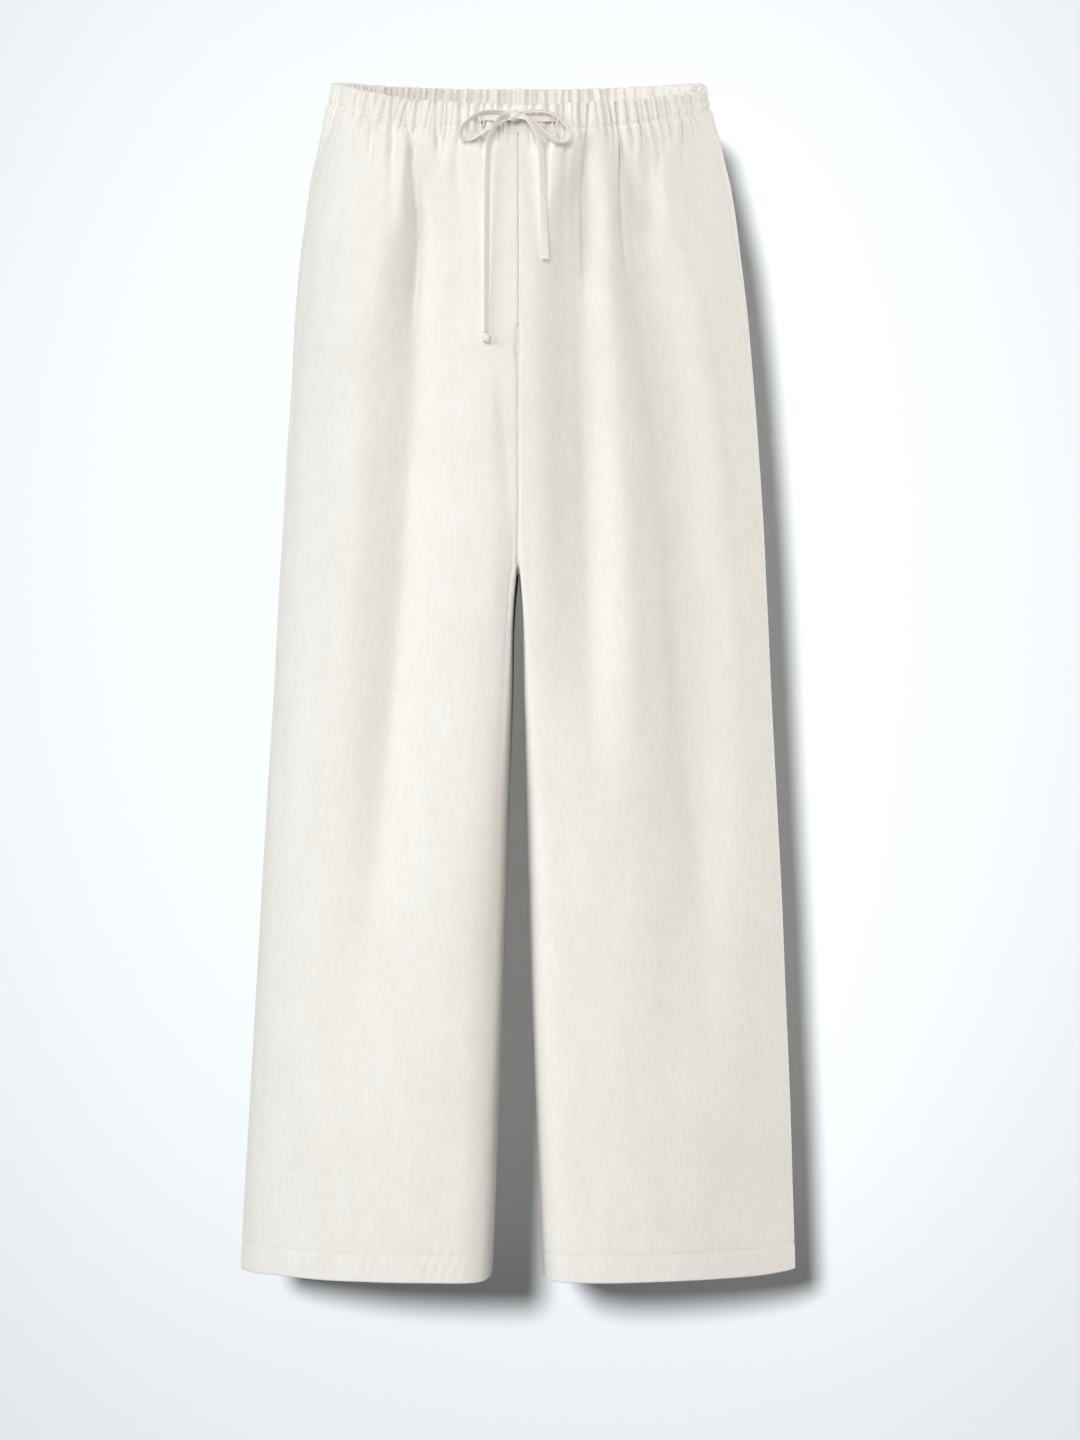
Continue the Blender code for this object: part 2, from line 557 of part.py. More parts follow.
def smooth_route(rows, spacing):
    """Evenly spaced points of the curve through a route's rows, with the same columns."""
    knots = np.array(rows, dtype=float)
    lengths = np.linalg.norm(np.diff(knots[:, :2], axis=0), axis=1)
    along = np.concatenate([[0.0], np.cumsum(lengths)])
    places = np.linspace(0.0, along[-1], max(3, int(round(along[-1] / spacing)) + 1))
    names = ("along",) + ROUTE_COLUMNS
    table = np.column_stack([along, knots])
    return np.column_stack([column(names, table, name, places) for name in ROUTE_COLUMNS])


def tie(name, rows, material):
    """A flat tie: an open strip along its route, given its thickness by Solidify."""
    route = smooth_route(rows, TAIL_SPACING if "tail" in name else TIE_SPACING)
    points = np.array([[x, front_of_cloth(x, drop) - off, -drop] for x, drop, off, _ in route])
    tangents = np.gradient(points, axis=0)
    tangents /= np.linalg.norm(tangents, axis=1, keepdims=True)
    strip = bmesh.new()
    rows_of_verts = []
    for point, tangent, turn in zip(points, tangents, np.radians(route[:, 3])):
        flat = np.cross(tangent, [0.0, 1.0, 0.0])
        flat /= np.linalg.norm(flat)
        on_edge = np.cross(flat, tangent)
        width = flat * math.cos(turn) + on_edge * math.sin(turn)
        edges = (point + width * TIE_WIDTH / 2 * way for way in (-1, 0, 1))
        rows_of_verts.append([strip.verts.new(edge * MM) for edge in edges])
    for upper, lower in zip(rows_of_verts[:-1], rows_of_verts[1:]):
        for cell in range(2):
            strip.faces.new([upper[cell], upper[cell + 1], lower[cell + 1], lower[cell]])
    mesh = bpy.data.meshes.new(name)
    strip.to_mesh(mesh)
    strip.free()
    mesh.shade_smooth()
    item = add_object(name, mesh, material)
    solid = item.modifiers.new("Solidify", "SOLIDIFY")
    solid.thickness = TIE_THICKNESS * MM
    solid.offset = 0.0
    return item


def knot(name, size, material):
    """A small rounded knot: a cube cage, softened by subdivision."""
    bpy.ops.mesh.primitive_cube_add(size=1.0)
    item = bpy.context.active_object
    item.name = name
    item.data.name = name
    y = front_of_cloth(size["x"], size["drop"]) - size["stand_off"]
    item.location = (size["x"] * MM, y * MM, -size["drop"] * MM)
    for vert in item.data.vertices:
        vert.co.x *= size["width"] * MM
        vert.co.y *= size["depth"] * MM
        vert.co.z *= size["height"] * MM
    creases = item.data.attributes.new("crease_edge", "FLOAT", "EDGE")
    for value in creases.data:
        value.value = KNOT_CREASE
    soft = item.modifiers.new("Subdivision", "SUBSURF")
    soft.levels = 2
    soft.render_levels = 2
    item.data.materials.append(material)
    item.data.shade_smooth()
    for home in list(item.users_collection):
        home.objects.unlink(item)
    bpy.data.collections[COLLECTION].objects.link(item)
    return item


# ---------------------------------------------------------------- the garment
def main():
    for item in list(bpy.data.objects):
        bpy.data.objects.remove(item, do_unlink=True)
    bpy.context.scene.collection.children.link(bpy.data.collections.new(COLLECTION))

    linen = new_material("linen", (0.86, 0.83, 0.77), 0.9)
    casing_linen = new_material("casing_linen", (0.84, 0.81, 0.75), 0.9)
    tie_linen = new_material("tie_linen", (0.87, 0.84, 0.78), 0.85)

    for panel in PANELS:
        leg_panel(panel, linen)
    waistband("waistband_front", "front_right", "front_left", casing_linen)
    waistband("waistband_back", "back_right", "back_left", casing_linen)
    for name, rows in TIE_ROUTES.items():
        tie(name, rows, tie_linen)
    knot("drawstring_knot", KNOT, tie_linen)
    knot("drawstring_end_knot", END_KNOT, tie_linen)


main()
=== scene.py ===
# %% [markdown]
# # Linen drawstring trousers
# These wide trousers are washed cream linen: four leg panels, a casing gathered over elastic, and a
# flat tie in a bow. They are filled out as if somebody wore them, but nobody does, so the cloth itself
# is the whole form. This script dresses the rigid frame of the trousers: it replaces each plain solid
# with a thin shell of cloth that has the gathers, folds, seams and stitches of the real garment.
#
# The frame has to be loaded first. Every place below is given in the same space: metres, +Z up, the
# front facing -Y, and the origin in the middle of the waist opening.

# %% The frame
import json
import math

import bpy
import numpy as np
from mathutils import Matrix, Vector

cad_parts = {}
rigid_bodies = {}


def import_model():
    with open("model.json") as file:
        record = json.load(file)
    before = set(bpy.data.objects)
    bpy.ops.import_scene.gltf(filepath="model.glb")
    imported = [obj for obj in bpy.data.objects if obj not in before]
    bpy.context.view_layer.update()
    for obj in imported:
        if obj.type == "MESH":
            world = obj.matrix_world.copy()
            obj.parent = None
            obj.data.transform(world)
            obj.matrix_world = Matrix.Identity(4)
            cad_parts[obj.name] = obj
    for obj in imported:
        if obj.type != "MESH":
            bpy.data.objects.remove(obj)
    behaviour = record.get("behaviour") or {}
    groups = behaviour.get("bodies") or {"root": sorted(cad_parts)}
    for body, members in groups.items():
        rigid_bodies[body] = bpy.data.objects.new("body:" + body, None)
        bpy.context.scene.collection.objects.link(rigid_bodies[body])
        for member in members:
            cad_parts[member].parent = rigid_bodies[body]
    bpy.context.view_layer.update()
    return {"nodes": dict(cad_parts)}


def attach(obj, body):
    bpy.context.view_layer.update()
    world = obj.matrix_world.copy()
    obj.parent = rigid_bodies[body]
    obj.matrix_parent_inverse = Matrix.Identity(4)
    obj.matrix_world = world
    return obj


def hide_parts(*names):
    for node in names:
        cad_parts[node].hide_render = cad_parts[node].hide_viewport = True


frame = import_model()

MM = 0.001
print("nodes in the frame:", len(frame["nodes"]))

# %% [markdown]
# ## The camera
# The garment is seen straight from the front with a long lens, level with its middle. A lens on a
# 36 mm sensor sees `sensor / lens` metres for each metre of distance, so the lens follows from how much
# of the garment's plane the picture should show.

# %% The camera
SENSOR = 36.0                      # millimetres, along the longer side of the picture
EYE = Vector((0.0183, -3.4, -0.555))
SEEN_HEIGHT = 1.2571               # metres of the plane y = 0 between the picture's top and bottom

camera_data = bpy.data.cameras.new("camera")
camera_data.sensor_width = SENSOR
camera_data.lens = SENSOR * abs(EYE.y) / SEEN_HEIGHT
camera_data.clip_end = 60.0
camera = bpy.data.objects.new("camera", camera_data)
camera.location = EYE
camera.rotation_euler = (math.radians(90.0), 0.0, 0.0)
bpy.context.scene.collection.objects.link(camera)
bpy.context.scene.camera = camera
print("lens:", round(camera_data.lens, 1), "mm")

# %% [markdown]
# ## The form of the body sections
# A filled-out garment is a stack of rounded sections: one round the hips, then two below the crotch. A
# pattern maker thinks the same way, in a table of measures from the waist down. A few rows with a smooth
# curve through them give any section between. The numbers are millimetres; a `drop` is a distance below
# the origin, and the names right and left are the wearer's.

# %% The sections from the waist to the hem
OUTSEAM = 1032.0
CROTCH_DROP = 266.0
HEM_DEPTH = 22.0
INNER_SHARP = 10.0
INNER_ROUND = 4.2
TOUCHING_TO_DROP = 425.0
ROUND_FROM_DROP = 640.0
RISE_HEIGHT = 46.0
RISE_CURVE = 1.7
RISE_SOFTNESS = 6.0
LEGS_FROM_DROP = 95.0
INNER_FACE_SHARE = 0.20
KNEE_SHARE = 0.16
INNER_FACE_FROM_DROP = 150.0
INNER_FACE_TO_DROP = 640.0
EDGE_FADE_DROP = 260.0

SECTION_COLUMNS = ("drop", "right_out", "left_out", "right_in", "left_in", "right_corner",
                   "left_corner", "front", "back", "roundness", "right_seam", "left_seam")
SECTIONS = (
    (0, 162.5, 162.5, 0.15, 0.15, 16, 16, 104, 106, 2.20, 58, 68),
    (25, 167.5, 167.0, 0.15, 0.15, 16, 16, 107, 109, 2.20, 60, 68.5),
    (53, 174.0, 175.5, 0.15, 0.15, 16, 16, 112, 115, 2.20, 62, 69.5),
    (80, 180.5, 182.5, 0.15, 0.15, 16, 16, 116, 122, 2.18, 65, 71.5),
    (106, 184.5, 187.0, 0.15, 0.15, 14.5, 14.5, 119, 129, 2.16, 69, 74),
    (158, 191.0, 193.5, 0.15, 0.15, 9.5, 9.5, 122, 136, 2.12, 75, 78),
    (205, 195.0, 199.0, 0.15, 0.15, 6.5, 6.5, 121, 138, 2.10, 77, 82),
    (266, 198.5, 204.5, 0.15, 0.15, 4, 4, 118, 135, 2.06, 79, 84),
    (320, 202.5, 209.0, 0.15, 0.15, 4, 4, 114, 130, 2.02, 81, 85),
    (407, 207.5, 214.5, 0.30, 0.25, 5, 5, 110, 122, 1.98, 83, 86),
    (430, 209.0, 215.5, 1.10, 0.90, 7, 7, 109, 120, 1.96, 84, 86),
    (450, 210.0, 216.5, 3.10, 2.50, 10, 10, 108, 118, 1.95, 84, 86),
    (538, 214.5, 220.5, 6.00, 4.60, 26, 21, 105, 110, 1.91, 85, 87),
    (625, 220.0, 225.0, 8.70, 6.40, 36, 30, 103, 106, 1.88, 86, 87),
    (712, 225.0, 229.5, 11.4, 9.00, 47, 38, 102, 103, 1.85, 87, 88),
    (800, 230.0, 233.0, 14.4, 11.7, 50, 42, 101, 101, 1.82, 87, 88),
    (887, 235.0, 236.7, 18.0, 14.9, 49, 44, 101, 100, 1.79, 88, 88),
    (974, 240.0, 239.3, 21.0, 18.2, 47, 46, 100, 100, 1.77, 88, 88),
    (1032, 243.0, 241.2, 23.5, 20.2, 46, 46, 100, 100, 1.75, 88, 88),
)
EDGE_COLUMNS = ("angle", "right", "left", "casing")
WAIST_EDGE = (
    (0, -34.0, -34.0, 24.5),
    (30, -26.5, -27.5, 22.0),
    (50, -15.5, -19.0, 19.5),
    (65, -7.0, -13.0, 18.5),
    (80, -1.5, -6.5, 18.5),
    (95, 3.0, 2.0, 19.0),
    (110, 7.5, 7.0, 20.5),
    (135, 11.0, 11.0, 22.5),
    (180, 13.0, 13.0, 24.5),
)
PANELS = {
    "front_right": ("front", -1),
    "front_left": ("front", 1),
    "back_right": ("back", -1),
    "back_left": ("back", 1),
}


def column(columns, rows, name, at):
    """One named column of a table as a smooth curve through its rows, read at the values `at`."""
    table = np.array(rows, dtype=float)
    xs = table[:, 0]
    ys = table[:, columns.index(name)]
    slopes = np.gradient(ys, xs)
    index = np.clip(np.searchsorted(xs, at) - 1, 0, len(xs) - 2)
    step = xs[index + 1] - xs[index]
    q = np.clip((at - xs[index]) / step, 0.0, 1.0)
    return (ys[index] * (1 + 2 * q) * (1 - q) ** 2 + slopes[index] * step * q * (1 - q) ** 2
            + ys[index + 1] * (3 - 2 * q) * q ** 2 - slopes[index + 1] * step * q ** 2 * (1 - q))


def smooth_step(q):
    q = np.clip(q, 0.0, 1.0)
    return q * q * (3 - 2 * q)


def smoother_step(q):
    """As smooth_step, and without a sudden bend at either end."""
    q = np.clip(q, 0.0, 1.0)
    return q ** 3 * (q * (6 * q - 15) + 10)


def body(name, drop):
    return column(SECTION_COLUMNS, SECTIONS, name, drop)


def side_name(side):
    return "right" if side < 0 else "left"


def unit(vectors):
    return vectors / np.linalg.norm(vectors, axis=-1, keepdims=True)


def length_along(line):
    """How far each point of a line is from its first one, along the line."""
    steps = np.linalg.norm(np.diff(line, axis=0), axis=1)
    return np.concatenate([[0.0], np.cumsum(steps)])


def signed_power(value, power):
    """A power that keeps the sign: below 1 it makes a circle's sine and cosine a rounded square's."""
    return np.sign(value) * np.abs(value) ** power


def round_the_circle(count):
    return np.linspace(0.0, 2.0 * math.pi, count, endpoint=False)


print("hip round the widest section:", round(math.pi * (body("right_out", 205.0) + 129.5)), "mm or so")

# %% [markdown]
# ## From sections to one smooth surface
# Each panel is a grid: `share` runs across it from the centre seam to the side seam, and `level` runs
# down it. The tricky place is the crotch, where one section turns into two. The rise seam curves under
# there, so above the crotch point the section keeps a web between the legs that shrinks to nothing.

# %% A panel's smooth surface
TURNS = np.radians(np.linspace(-90.0, 90.0, 361))
LEVEL_STEP = 2.0
LEVELS = np.arange(0.0, OUTSEAM + LEVEL_STEP, LEVEL_STEP)
SHARES = np.linspace(0.0, 1.0, 257)


def inner_squareness(level):
    """The exponent of a section's inner corner: sharp where the legs touch, rounder below."""
    apart = float(smooth_step((level - TOUCHING_TO_DROP) / (ROUND_FROM_DROP - TOUCHING_TO_DROP)))
    return INNER_SHARP + (INNER_ROUND - INNER_SHARP) * apart


def section_depth(side, face, x, level):
    """How far the front or back of a section stands out at the distances x from the middle plane."""
    name = side_name(side)
    outer = float(body(name + "_out", level))
    inner = float(body(name + "_in", level))
    corner = float(body(name + "_corner", level))
    depth = float(body(face, level))
    roundness = float(body("roundness", level))
    crest = inner + corner
    squareness = inner_squareness(level)
    inside = np.clip((crest - x) / corner, 0.0, 1.0)
    outside = np.clip((x - crest) / (outer - crest), 0.0, 1.0)
    leg = (depth * (1 - inside ** squareness) ** (1 / squareness)
           * (1 - outside ** roundness) ** (1 / roundness))
    torso = depth * (1 - np.clip(x / outer, 0.0, 1.0) ** roundness) ** (1 / roundness)
    if level >= CROTCH_DROP:
        return leg
    if level <= LEGS_FROM_DROP:
        return torso
    legs_part = float(smoother_step((level - LEGS_FROM_DROP) / (CROTCH_DROP - LEGS_FROM_DROP)))
    climb = np.clip((CROTCH_DROP - level) / RISE_HEIGHT, 0.0, 1.0)
    turned_under = (1.0 - climb) ** RISE_CURVE
    web = depth * max(0.0, 1.0 - turned_under / max(legs_part, turned_under))
    soft = RISE_SOFTNESS * 4.0 * (web / depth) * (1.0 - web / depth) + 0.01
    near = np.clip(1.0 - np.abs(leg - web) / soft, 0.0, 1.0)
    bridged = np.where(x < crest, np.maximum(leg, web) + near ** 2 * inside * soft / 4, leg)
    return torso * (1 - legs_part) + bridged * legs_part


def half_section(side, level):
    """One side's section, from the inner front round the outside to the inner back."""
    name = side_name(side)
    outer = float(body(name + "_out", level))
    inner = float(body(name + "_in", level))
    crest = inner + float(body(name + "_corner", level))
    turn = np.sin(TURNS)
    x = np.where(turn < 0, crest + turn * (crest - inner), crest + turn * (outer - crest))
    front = section_depth(side, "front", x, level)
    back = section_depth(side, "back", x, level)
    return np.concatenate([x, x[-2::-1]]), np.concatenate([-front, back[-2::-1]])


def spread_points(x, y, corner, level):
    """Points spread along a stretch of a section, fewer of them on the inner face by the crotch."""
    along = np.concatenate([[0.0], np.cumsum(np.hypot(np.diff(x), np.diff(y)))])
    widest = np.argmax(x) + 1
    at_corner = np.interp(x[0] + KNEE_SHARE * corner, x[:widest], along[:widest])
    even = at_corner / along[-1]
    pull = (smooth_step((level - INNER_FACE_FROM_DROP) / (CROTCH_DROP - INNER_FACE_FROM_DROP))
            * smooth_step((INNER_FACE_TO_DROP - level) / (INNER_FACE_TO_DROP - CROTCH_DROP)))
    knee = even + (min(even, INNER_FACE_SHARE) - even) * pull
    wanted = np.interp(SHARES, [0.0, knee, 1.0], [0.0, at_corner, along[-1]])
    return np.column_stack([np.interp(wanted, along, x), np.interp(wanted, along, y)])


def panel_grid(panel):
    """The panel's smooth form as x and y at every level and every share of its width."""
    face, side = PANELS[panel]
    name = side_name(side)
    rows = []
    for level in np.minimum(LEVELS, OUTSEAM):
        x, y = half_section(side, level)
        turn = float(body(name + "_seam", level)) + 90.0
        place = turn / 180.0 * (len(TURNS) - 1)
        places = np.arange(len(x), dtype=float)
        start = 0.0 if face == "front" else places[-1]
        fine = np.linspace(start, place, 4 * len(SHARES))
        corner = float(body(name + "_corner", level))
        rows.append(spread_points(np.interp(fine, places, x), np.interp(fine, places, y),
                                  corner, level))
    return np.array(rows)


GRIDS = {panel: panel_grid(panel) for panel in PANELS}
print("smooth grids:", {name: grid.shape[:2] for name, grid in GRIDS.items()})

# %% [markdown]
# The waist edge dips at the front and climbs to the back, so a drop on the cloth is measured from that
# edge. Normals come from small steps along and down the surface. They decide in which direction a
# gather swells, so they are worked out on the smooth surface and not on the folded one.

# %% Reading the surface at any place
SEAM_GAP = 0.04                    # between two sewn edges, hardly a thread
NEVER_ZERO = 1e-6                  # added where a normal could vanish, at a sharp corner
NORMAL_STEPS = 1.5                 # grid steps to each side, in working out a normal
NEAR_CROTCH = 0.5


def read_grid(grid, share, level):
    """Reads a panel's grid between its points."""
    across = np.clip(share, 0.0, 1.0) * (len(SHARES) - 1)
    down = np.clip(level / LEVEL_STEP, 0.0, len(LEVELS) - 1)
    i = np.minimum(across.astype(int), len(SHARES) - 2)
    j = np.minimum(down.astype(int), len(LEVELS) - 2)
    u = (across - i)[..., None]
    v = (down - j)[..., None]
    upper = grid[j, i] * (1 - u) + grid[j, i + 1] * u
    lower = grid[j + 1, i] * (1 - u) + grid[j + 1, i + 1] * u
    return upper * (1 - v) + lower * v


def waist_angle(panel, share):
    """Where a share of a panel lies round the waist: 0 at the centre front, 180 at the centre back."""
    side = PANELS[panel][1]
    xy = read_grid(GRIDS[panel], share, np.zeros(np.shape(share)))
    outer = float(body(side_name(side) + "_out", 0.0))
    depth = np.where(xy[..., 1] < 0, float(body("front", 0.0)), float(body("back", 0.0)))
    return np.degrees(np.arctan2(xy[..., 0] / outer, -xy[..., 1] / depth))


def casing_depth(panel, share):
    return column(EDGE_COLUMNS, WAIST_EDGE, "casing", waist_angle(panel, share))


def base_surface(panel, share, drop):
    """The smooth cloth, with no fold or gather, at a share of a panel and a drop."""
    side = PANELS[panel][1]
    dip = column(EDGE_COLUMNS, WAIST_EDGE, side_name(side), waist_angle(panel, share))
    height = -drop + dip * (1.0 - smoother_step(drop / EDGE_FADE_DROP))
    xy = read_grid(GRIDS[panel], share, -height)
    return np.stack([side * np.maximum(xy[..., 0], SEAM_GAP / 2), xy[..., 1], height], axis=-1)


def base_normal(panel, share, drop):
    """Outward normals of the smooth cloth."""
    face, side = PANELS[panel]
    step_share = NORMAL_STEPS / len(SHARES)
    step_drop = NORMAL_STEPS * LEVEL_STEP
    share_low = np.clip(share - step_share, 0.0, 1.0)
    share_high = np.clip(share + step_share, 0.0, 1.0)
    along = base_surface(panel, share_high, drop) - base_surface(panel, share_low, drop)
    down = base_surface(panel, share, drop + step_drop) - base_surface(panel, share, drop - step_drop)
    turn = side if face == "front" else -side
    normal = np.cross(along, down) * -turn
    on_centre_seam = (share <= 0.0) & (drop < CROTCH_DROP - NEAR_CROTCH)
    normal[..., 0] = np.where(on_centre_seam, 0.0, normal[..., 0])
    normal[..., 2] -= NEVER_ZERO
    at_crotch = (share <= 0.0) & (np.abs(drop - CROTCH_DROP) <= NEAR_CROTCH)
    under = np.array([-side * 0.7, 0.0, -0.7])
    normal = np.where(at_crotch[..., None], under, normal)
    return unit(normal)


def front_of_cloth(x, drop):
    """Where the smooth front of the cloth is at a place, in millimetres along Y."""
    return -float(section_depth(-1 if x < 0 else 1, "front", np.array(abs(x)), drop))


print("front of the waist lies at y =", round(front_of_cloth(0.0, 40.0), 1), "mm")

# %% [markdown]
# ## Material groups: linen threads
# Linen is a plain weave of uneven threads. Thick places in a thread, called slubs, show as short pale or
# dark streaks, most of them along the warp, which runs down the leg. The threads follow the cloth round
# every gather, so the pattern reads a UV map that holds the flat cloth's own coordinates in metres.
#
# One node group makes the threads for every fabric here. It puts out a colour and a height; the shader
# stays in each material.

# %% A node group for linen threads
THREAD_NOISES = {                  # bumps in a metre across and down the cloth, and the noise's detail
    "warp": ((1500.0, 40.0), 2.0),
    "weft": ((40.0, 1500.0), 2.0),
    "warp_slub": ((520.0, 55.0), 1.0),
    "weft_slub": ((45.0, 620.0), 1.0),
    "mottle": ((42.0, 16.0), 3.0),
}
NOISE_ROUGHNESS = 0.55
LINEN_ROUGHNESS = 0.80
SLUB_ROUGHNESS = 0.16              # added where a slub is thickest


def group_node(tree, kind, **settings):
    node = tree.nodes.new(kind)
    for name, value in settings.items():
        setattr(node, name, value)
    return node


def stretched_noise(tree, vector, scale, detail):
    """Noise in cloth coordinates, with its own scale across and down the cloth."""
    mapping = group_node(tree, "ShaderNodeMapping")
    mapping.inputs["Scale"].default_value = (scale[0], scale[1], 1.0)
    noise = group_node(tree, "ShaderNodeTexNoise", noise_dimensions="2D")
    noise.inputs["Scale"].default_value = 1.0
    noise.inputs["Detail"].default_value = detail
    noise.inputs["Roughness"].default_value = NOISE_ROUGHNESS
    tree.links.new(vector, mapping.inputs["Vector"])
    tree.links.new(mapping.outputs["Vector"], noise.inputs["Vector"])
    return noise.outputs["Fac"]


def combine(tree, operation, first, second):
    node = group_node(tree, "ShaderNodeMath", operation=operation)
    for socket, value in zip(node.inputs, (first, second)):
        if isinstance(value, (int, float)):
            socket.default_value = value
        else:
            tree.links.new(value, socket)
    return node.outputs["Value"]


GROUP_SOCKETS = (
    ("Vector", "INPUT", "Vector"),
    ("Bright", "INPUT", "Color"),
    ("Dim", "INPUT", "Color"),
    ("Slubs", "INPUT", "Float"),
    ("Color", "OUTPUT", "Color"),
    ("Height", "OUTPUT", "Float"),
    ("Rough", "OUTPUT", "Float"),
)


def weighted_sum(tree, parts):
    """The sum of some outputs, each times its weight."""
    total = None
    for output, weight in parts:
        share = combine(tree, "MULTIPLY", output, weight)
        total = share if total is None else combine(tree, "ADD", total, share)
    return total


def linen_group():
    tree = bpy.data.node_groups.new("linen_threads", "ShaderNodeTree")
    face = tree.interface
    for name, way, kind in GROUP_SOCKETS:
        face.new_socket(name, in_out=way, socket_type="NodeSocket" + kind)
    start = tree.nodes.new("NodeGroupInput")
    end = tree.nodes.new("NodeGroupOutput")
    noise = {name: stretched_noise(tree, start.outputs["Vector"], *settings)
             for name, settings in THREAD_NOISES.items()}

    slubs = weighted_sum(tree, ((noise["warp_slub"], 0.68), (noise["weft_slub"], 0.32)))
    threads = weighted_sum(tree, ((noise["warp"], 0.5), (noise["weft"], 0.5)))
    tone = weighted_sum(tree, ((slubs, 0.50), (threads, 0.22), (noise["mottle"], 0.28)))
    centred = combine(tree, "SUBTRACT", tone, 0.5)
    scaled = combine(tree, "MULTIPLY", centred, start.outputs["Slubs"])
    factor = combine(tree, "ADD", scaled, 0.5)
    mix = group_node(tree, "ShaderNodeMix", data_type="RGBA", clamp_factor=True)
    tree.links.new(factor, mix.inputs["Factor"])
    tree.links.new(start.outputs["Bright"], mix.inputs["A"])
    tree.links.new(start.outputs["Dim"], mix.inputs["B"])
    tree.links.new(mix.outputs["Result"], end.inputs["Color"])
    tree.links.new(weighted_sum(tree, ((threads, 0.55), (slubs, 0.45))), end.inputs["Height"])
    rough = combine(tree, "ADD", combine(tree, "MULTIPLY", slubs, SLUB_ROUGHNESS), LINEN_ROUGHNESS)
    tree.links.new(rough, end.inputs["Rough"])
    return tree


LINEN_THREADS = linen_group()
print("node group:", LINEN_THREADS.name, "with", len(LINEN_THREADS.nodes), "nodes")

# %% [markdown]
# Each fabric is a Principled BSDF fed by that group. Linen is matt with a faint sheen from its loose
# fibres, so the roughness stays high, and the sheen is set on the shader's own socket.

# %% The fabrics
THREAD_MAP = "Threads"
SHEEN_ROUGHNESS = 0.6
LINEN_SPECULAR = 0.25


def fabric(name, bright, dim, slubs, relief, sheen):
    material = bpy.data.materials.new(name)
    material.use_nodes = True
    tree = material.node_tree
    shader = tree.nodes["Principled BSDF"]
    shader.inputs["Sheen Weight"].default_value = sheen
    shader.inputs["Sheen Roughness"].default_value = SHEEN_ROUGHNESS
    shader.inputs["Specular IOR Level"].default_value = LINEN_SPECULAR
    coordinates = group_node(tree, "ShaderNodeUVMap", uv_map=THREAD_MAP)
    threads = group_node(tree, "ShaderNodeGroup")
    threads.node_tree = LINEN_THREADS
    threads.inputs["Bright"].default_value = (*bright, 1.0)
    threads.inputs["Dim"].default_value = (*dim, 1.0)
    threads.inputs["Slubs"].default_value = slubs
    bump = group_node(tree, "ShaderNodeBump")
    bump.inputs["Strength"].default_value = 1.0
    bump.inputs["Distance"].default_value = relief * MM
    tree.links.new(coordinates.outputs["UV"], threads.inputs["Vector"])
    tree.links.new(threads.outputs["Color"], shader.inputs["Base Color"])
    tree.links.new(threads.outputs["Rough"], shader.inputs["Roughness"])
    tree.links.new(threads.outputs["Height"], bump.inputs["Height"])
    tree.links.new(bump.outputs["Normal"], shader.inputs["Normal"])
    return material


LINEN = fabric("washed_linen", (0.915, 0.894, 0.860), (0.80, 0.771, 0.723), 1.9, 0.30, 0.10)
CASING_LINEN = fabric("casing_linen", (0.915, 0.889, 0.844), (0.80, 0.767, 0.712), 1.7, 0.30, 0.10)
TIE_LINEN = fabric("tie_linen", (0.91, 0.88, 0.828), (0.80, 0.767, 0.705), 1.4, 0.20, 0.10)
SEWING_THREAD = fabric("sewing_thread", (0.91, 0.88, 0.83), (0.83, 0.80, 0.74), 1.0, 0.05, 0.05)
print("fabrics:", [m.name for m in (LINEN, CASING_LINEN, TIE_LINEN, SEWING_THREAD)])

# %% [markdown]
# ## The drawstring
# The tie is a strip of the same linen, folded to 6 mm and stitched flat. Each half leaves the casing
# through a buttonhole, runs flat to the bow's knot, makes a loop that stands on its edge, and hangs down
# as a free end. Its route is a short list of points: x, drop, the distance from the cloth
# behind it, and how far its flat side is turned.

# %% The routes of the tie
TIE_WIDTH = 6.2
TIE_THICKNESS = 1.4
ROUTE_COLUMNS = ("x", "drop", "stand_off", "turn")
RIGHT_ROUTE = (
    (-34.0, 46.0, -2.6, 0), (-30.6, 46.0, 0.2, 0),
    (-28.0, 46.0, 2.7, 0), (-20.0, 46.3, 2.7, 0), (-13.0, 46.4, 2.8, 0), (-8.6, 46.2, 2.8, 0),
    (-3.4, 45.4, 5.0, 45),
    (-9.3, 43.6, 8.2, 66), (-14.0, 42.6, 8.2, 66), (-21.0, 42.2, 8.2, 66), (-29.0, 42.8, 8.0, 66),
    (-37.0, 45.8, 7.4, 66), (-43.4, 50.6, 6.8, 66), (-47.8, 56.4, 6.6, 66), (-49.0, 61.0, 6.4, 66),
    (-47.6, 64.6, 6.4, 66), (-43.6, 66.2, 6.4, 66), (-38.4, 65.2, 6.4, 66), (-32.6, 61.6, 6.6, 66),
    (-26.8, 57.6, 7.0, 66), (-20.0, 54.0, 7.8, 66), (-13.5, 51.0, 8.2, 66), (-9.3, 48.8, 8.2, 66),
    (-4.6, 47.2, 10.6, 45),
    (-9.6, 46.2, 12.6, 40), (-12.4, 46.8, 13.0, 54), (-15.7, 49.0, 13.2, 58), (-19.7, 54.2, 13.0, 60),
    (-22.8, 61.0, 12.0, 60), (-25.3, 69.5, 10.4, 60), (-26.2, 80.0, 9.0, 60), (-26.8, 99.0, 7.0, 60),
    (-27.0, 120.0, 6.0, 58), (-27.0, 145.0, 5.2, 56), (-27.0, 175.0, 4.6, 54), (-27.1, 202.0, 3.9, 54),
    (-27.2, 229.0, 3.6, 54),
)
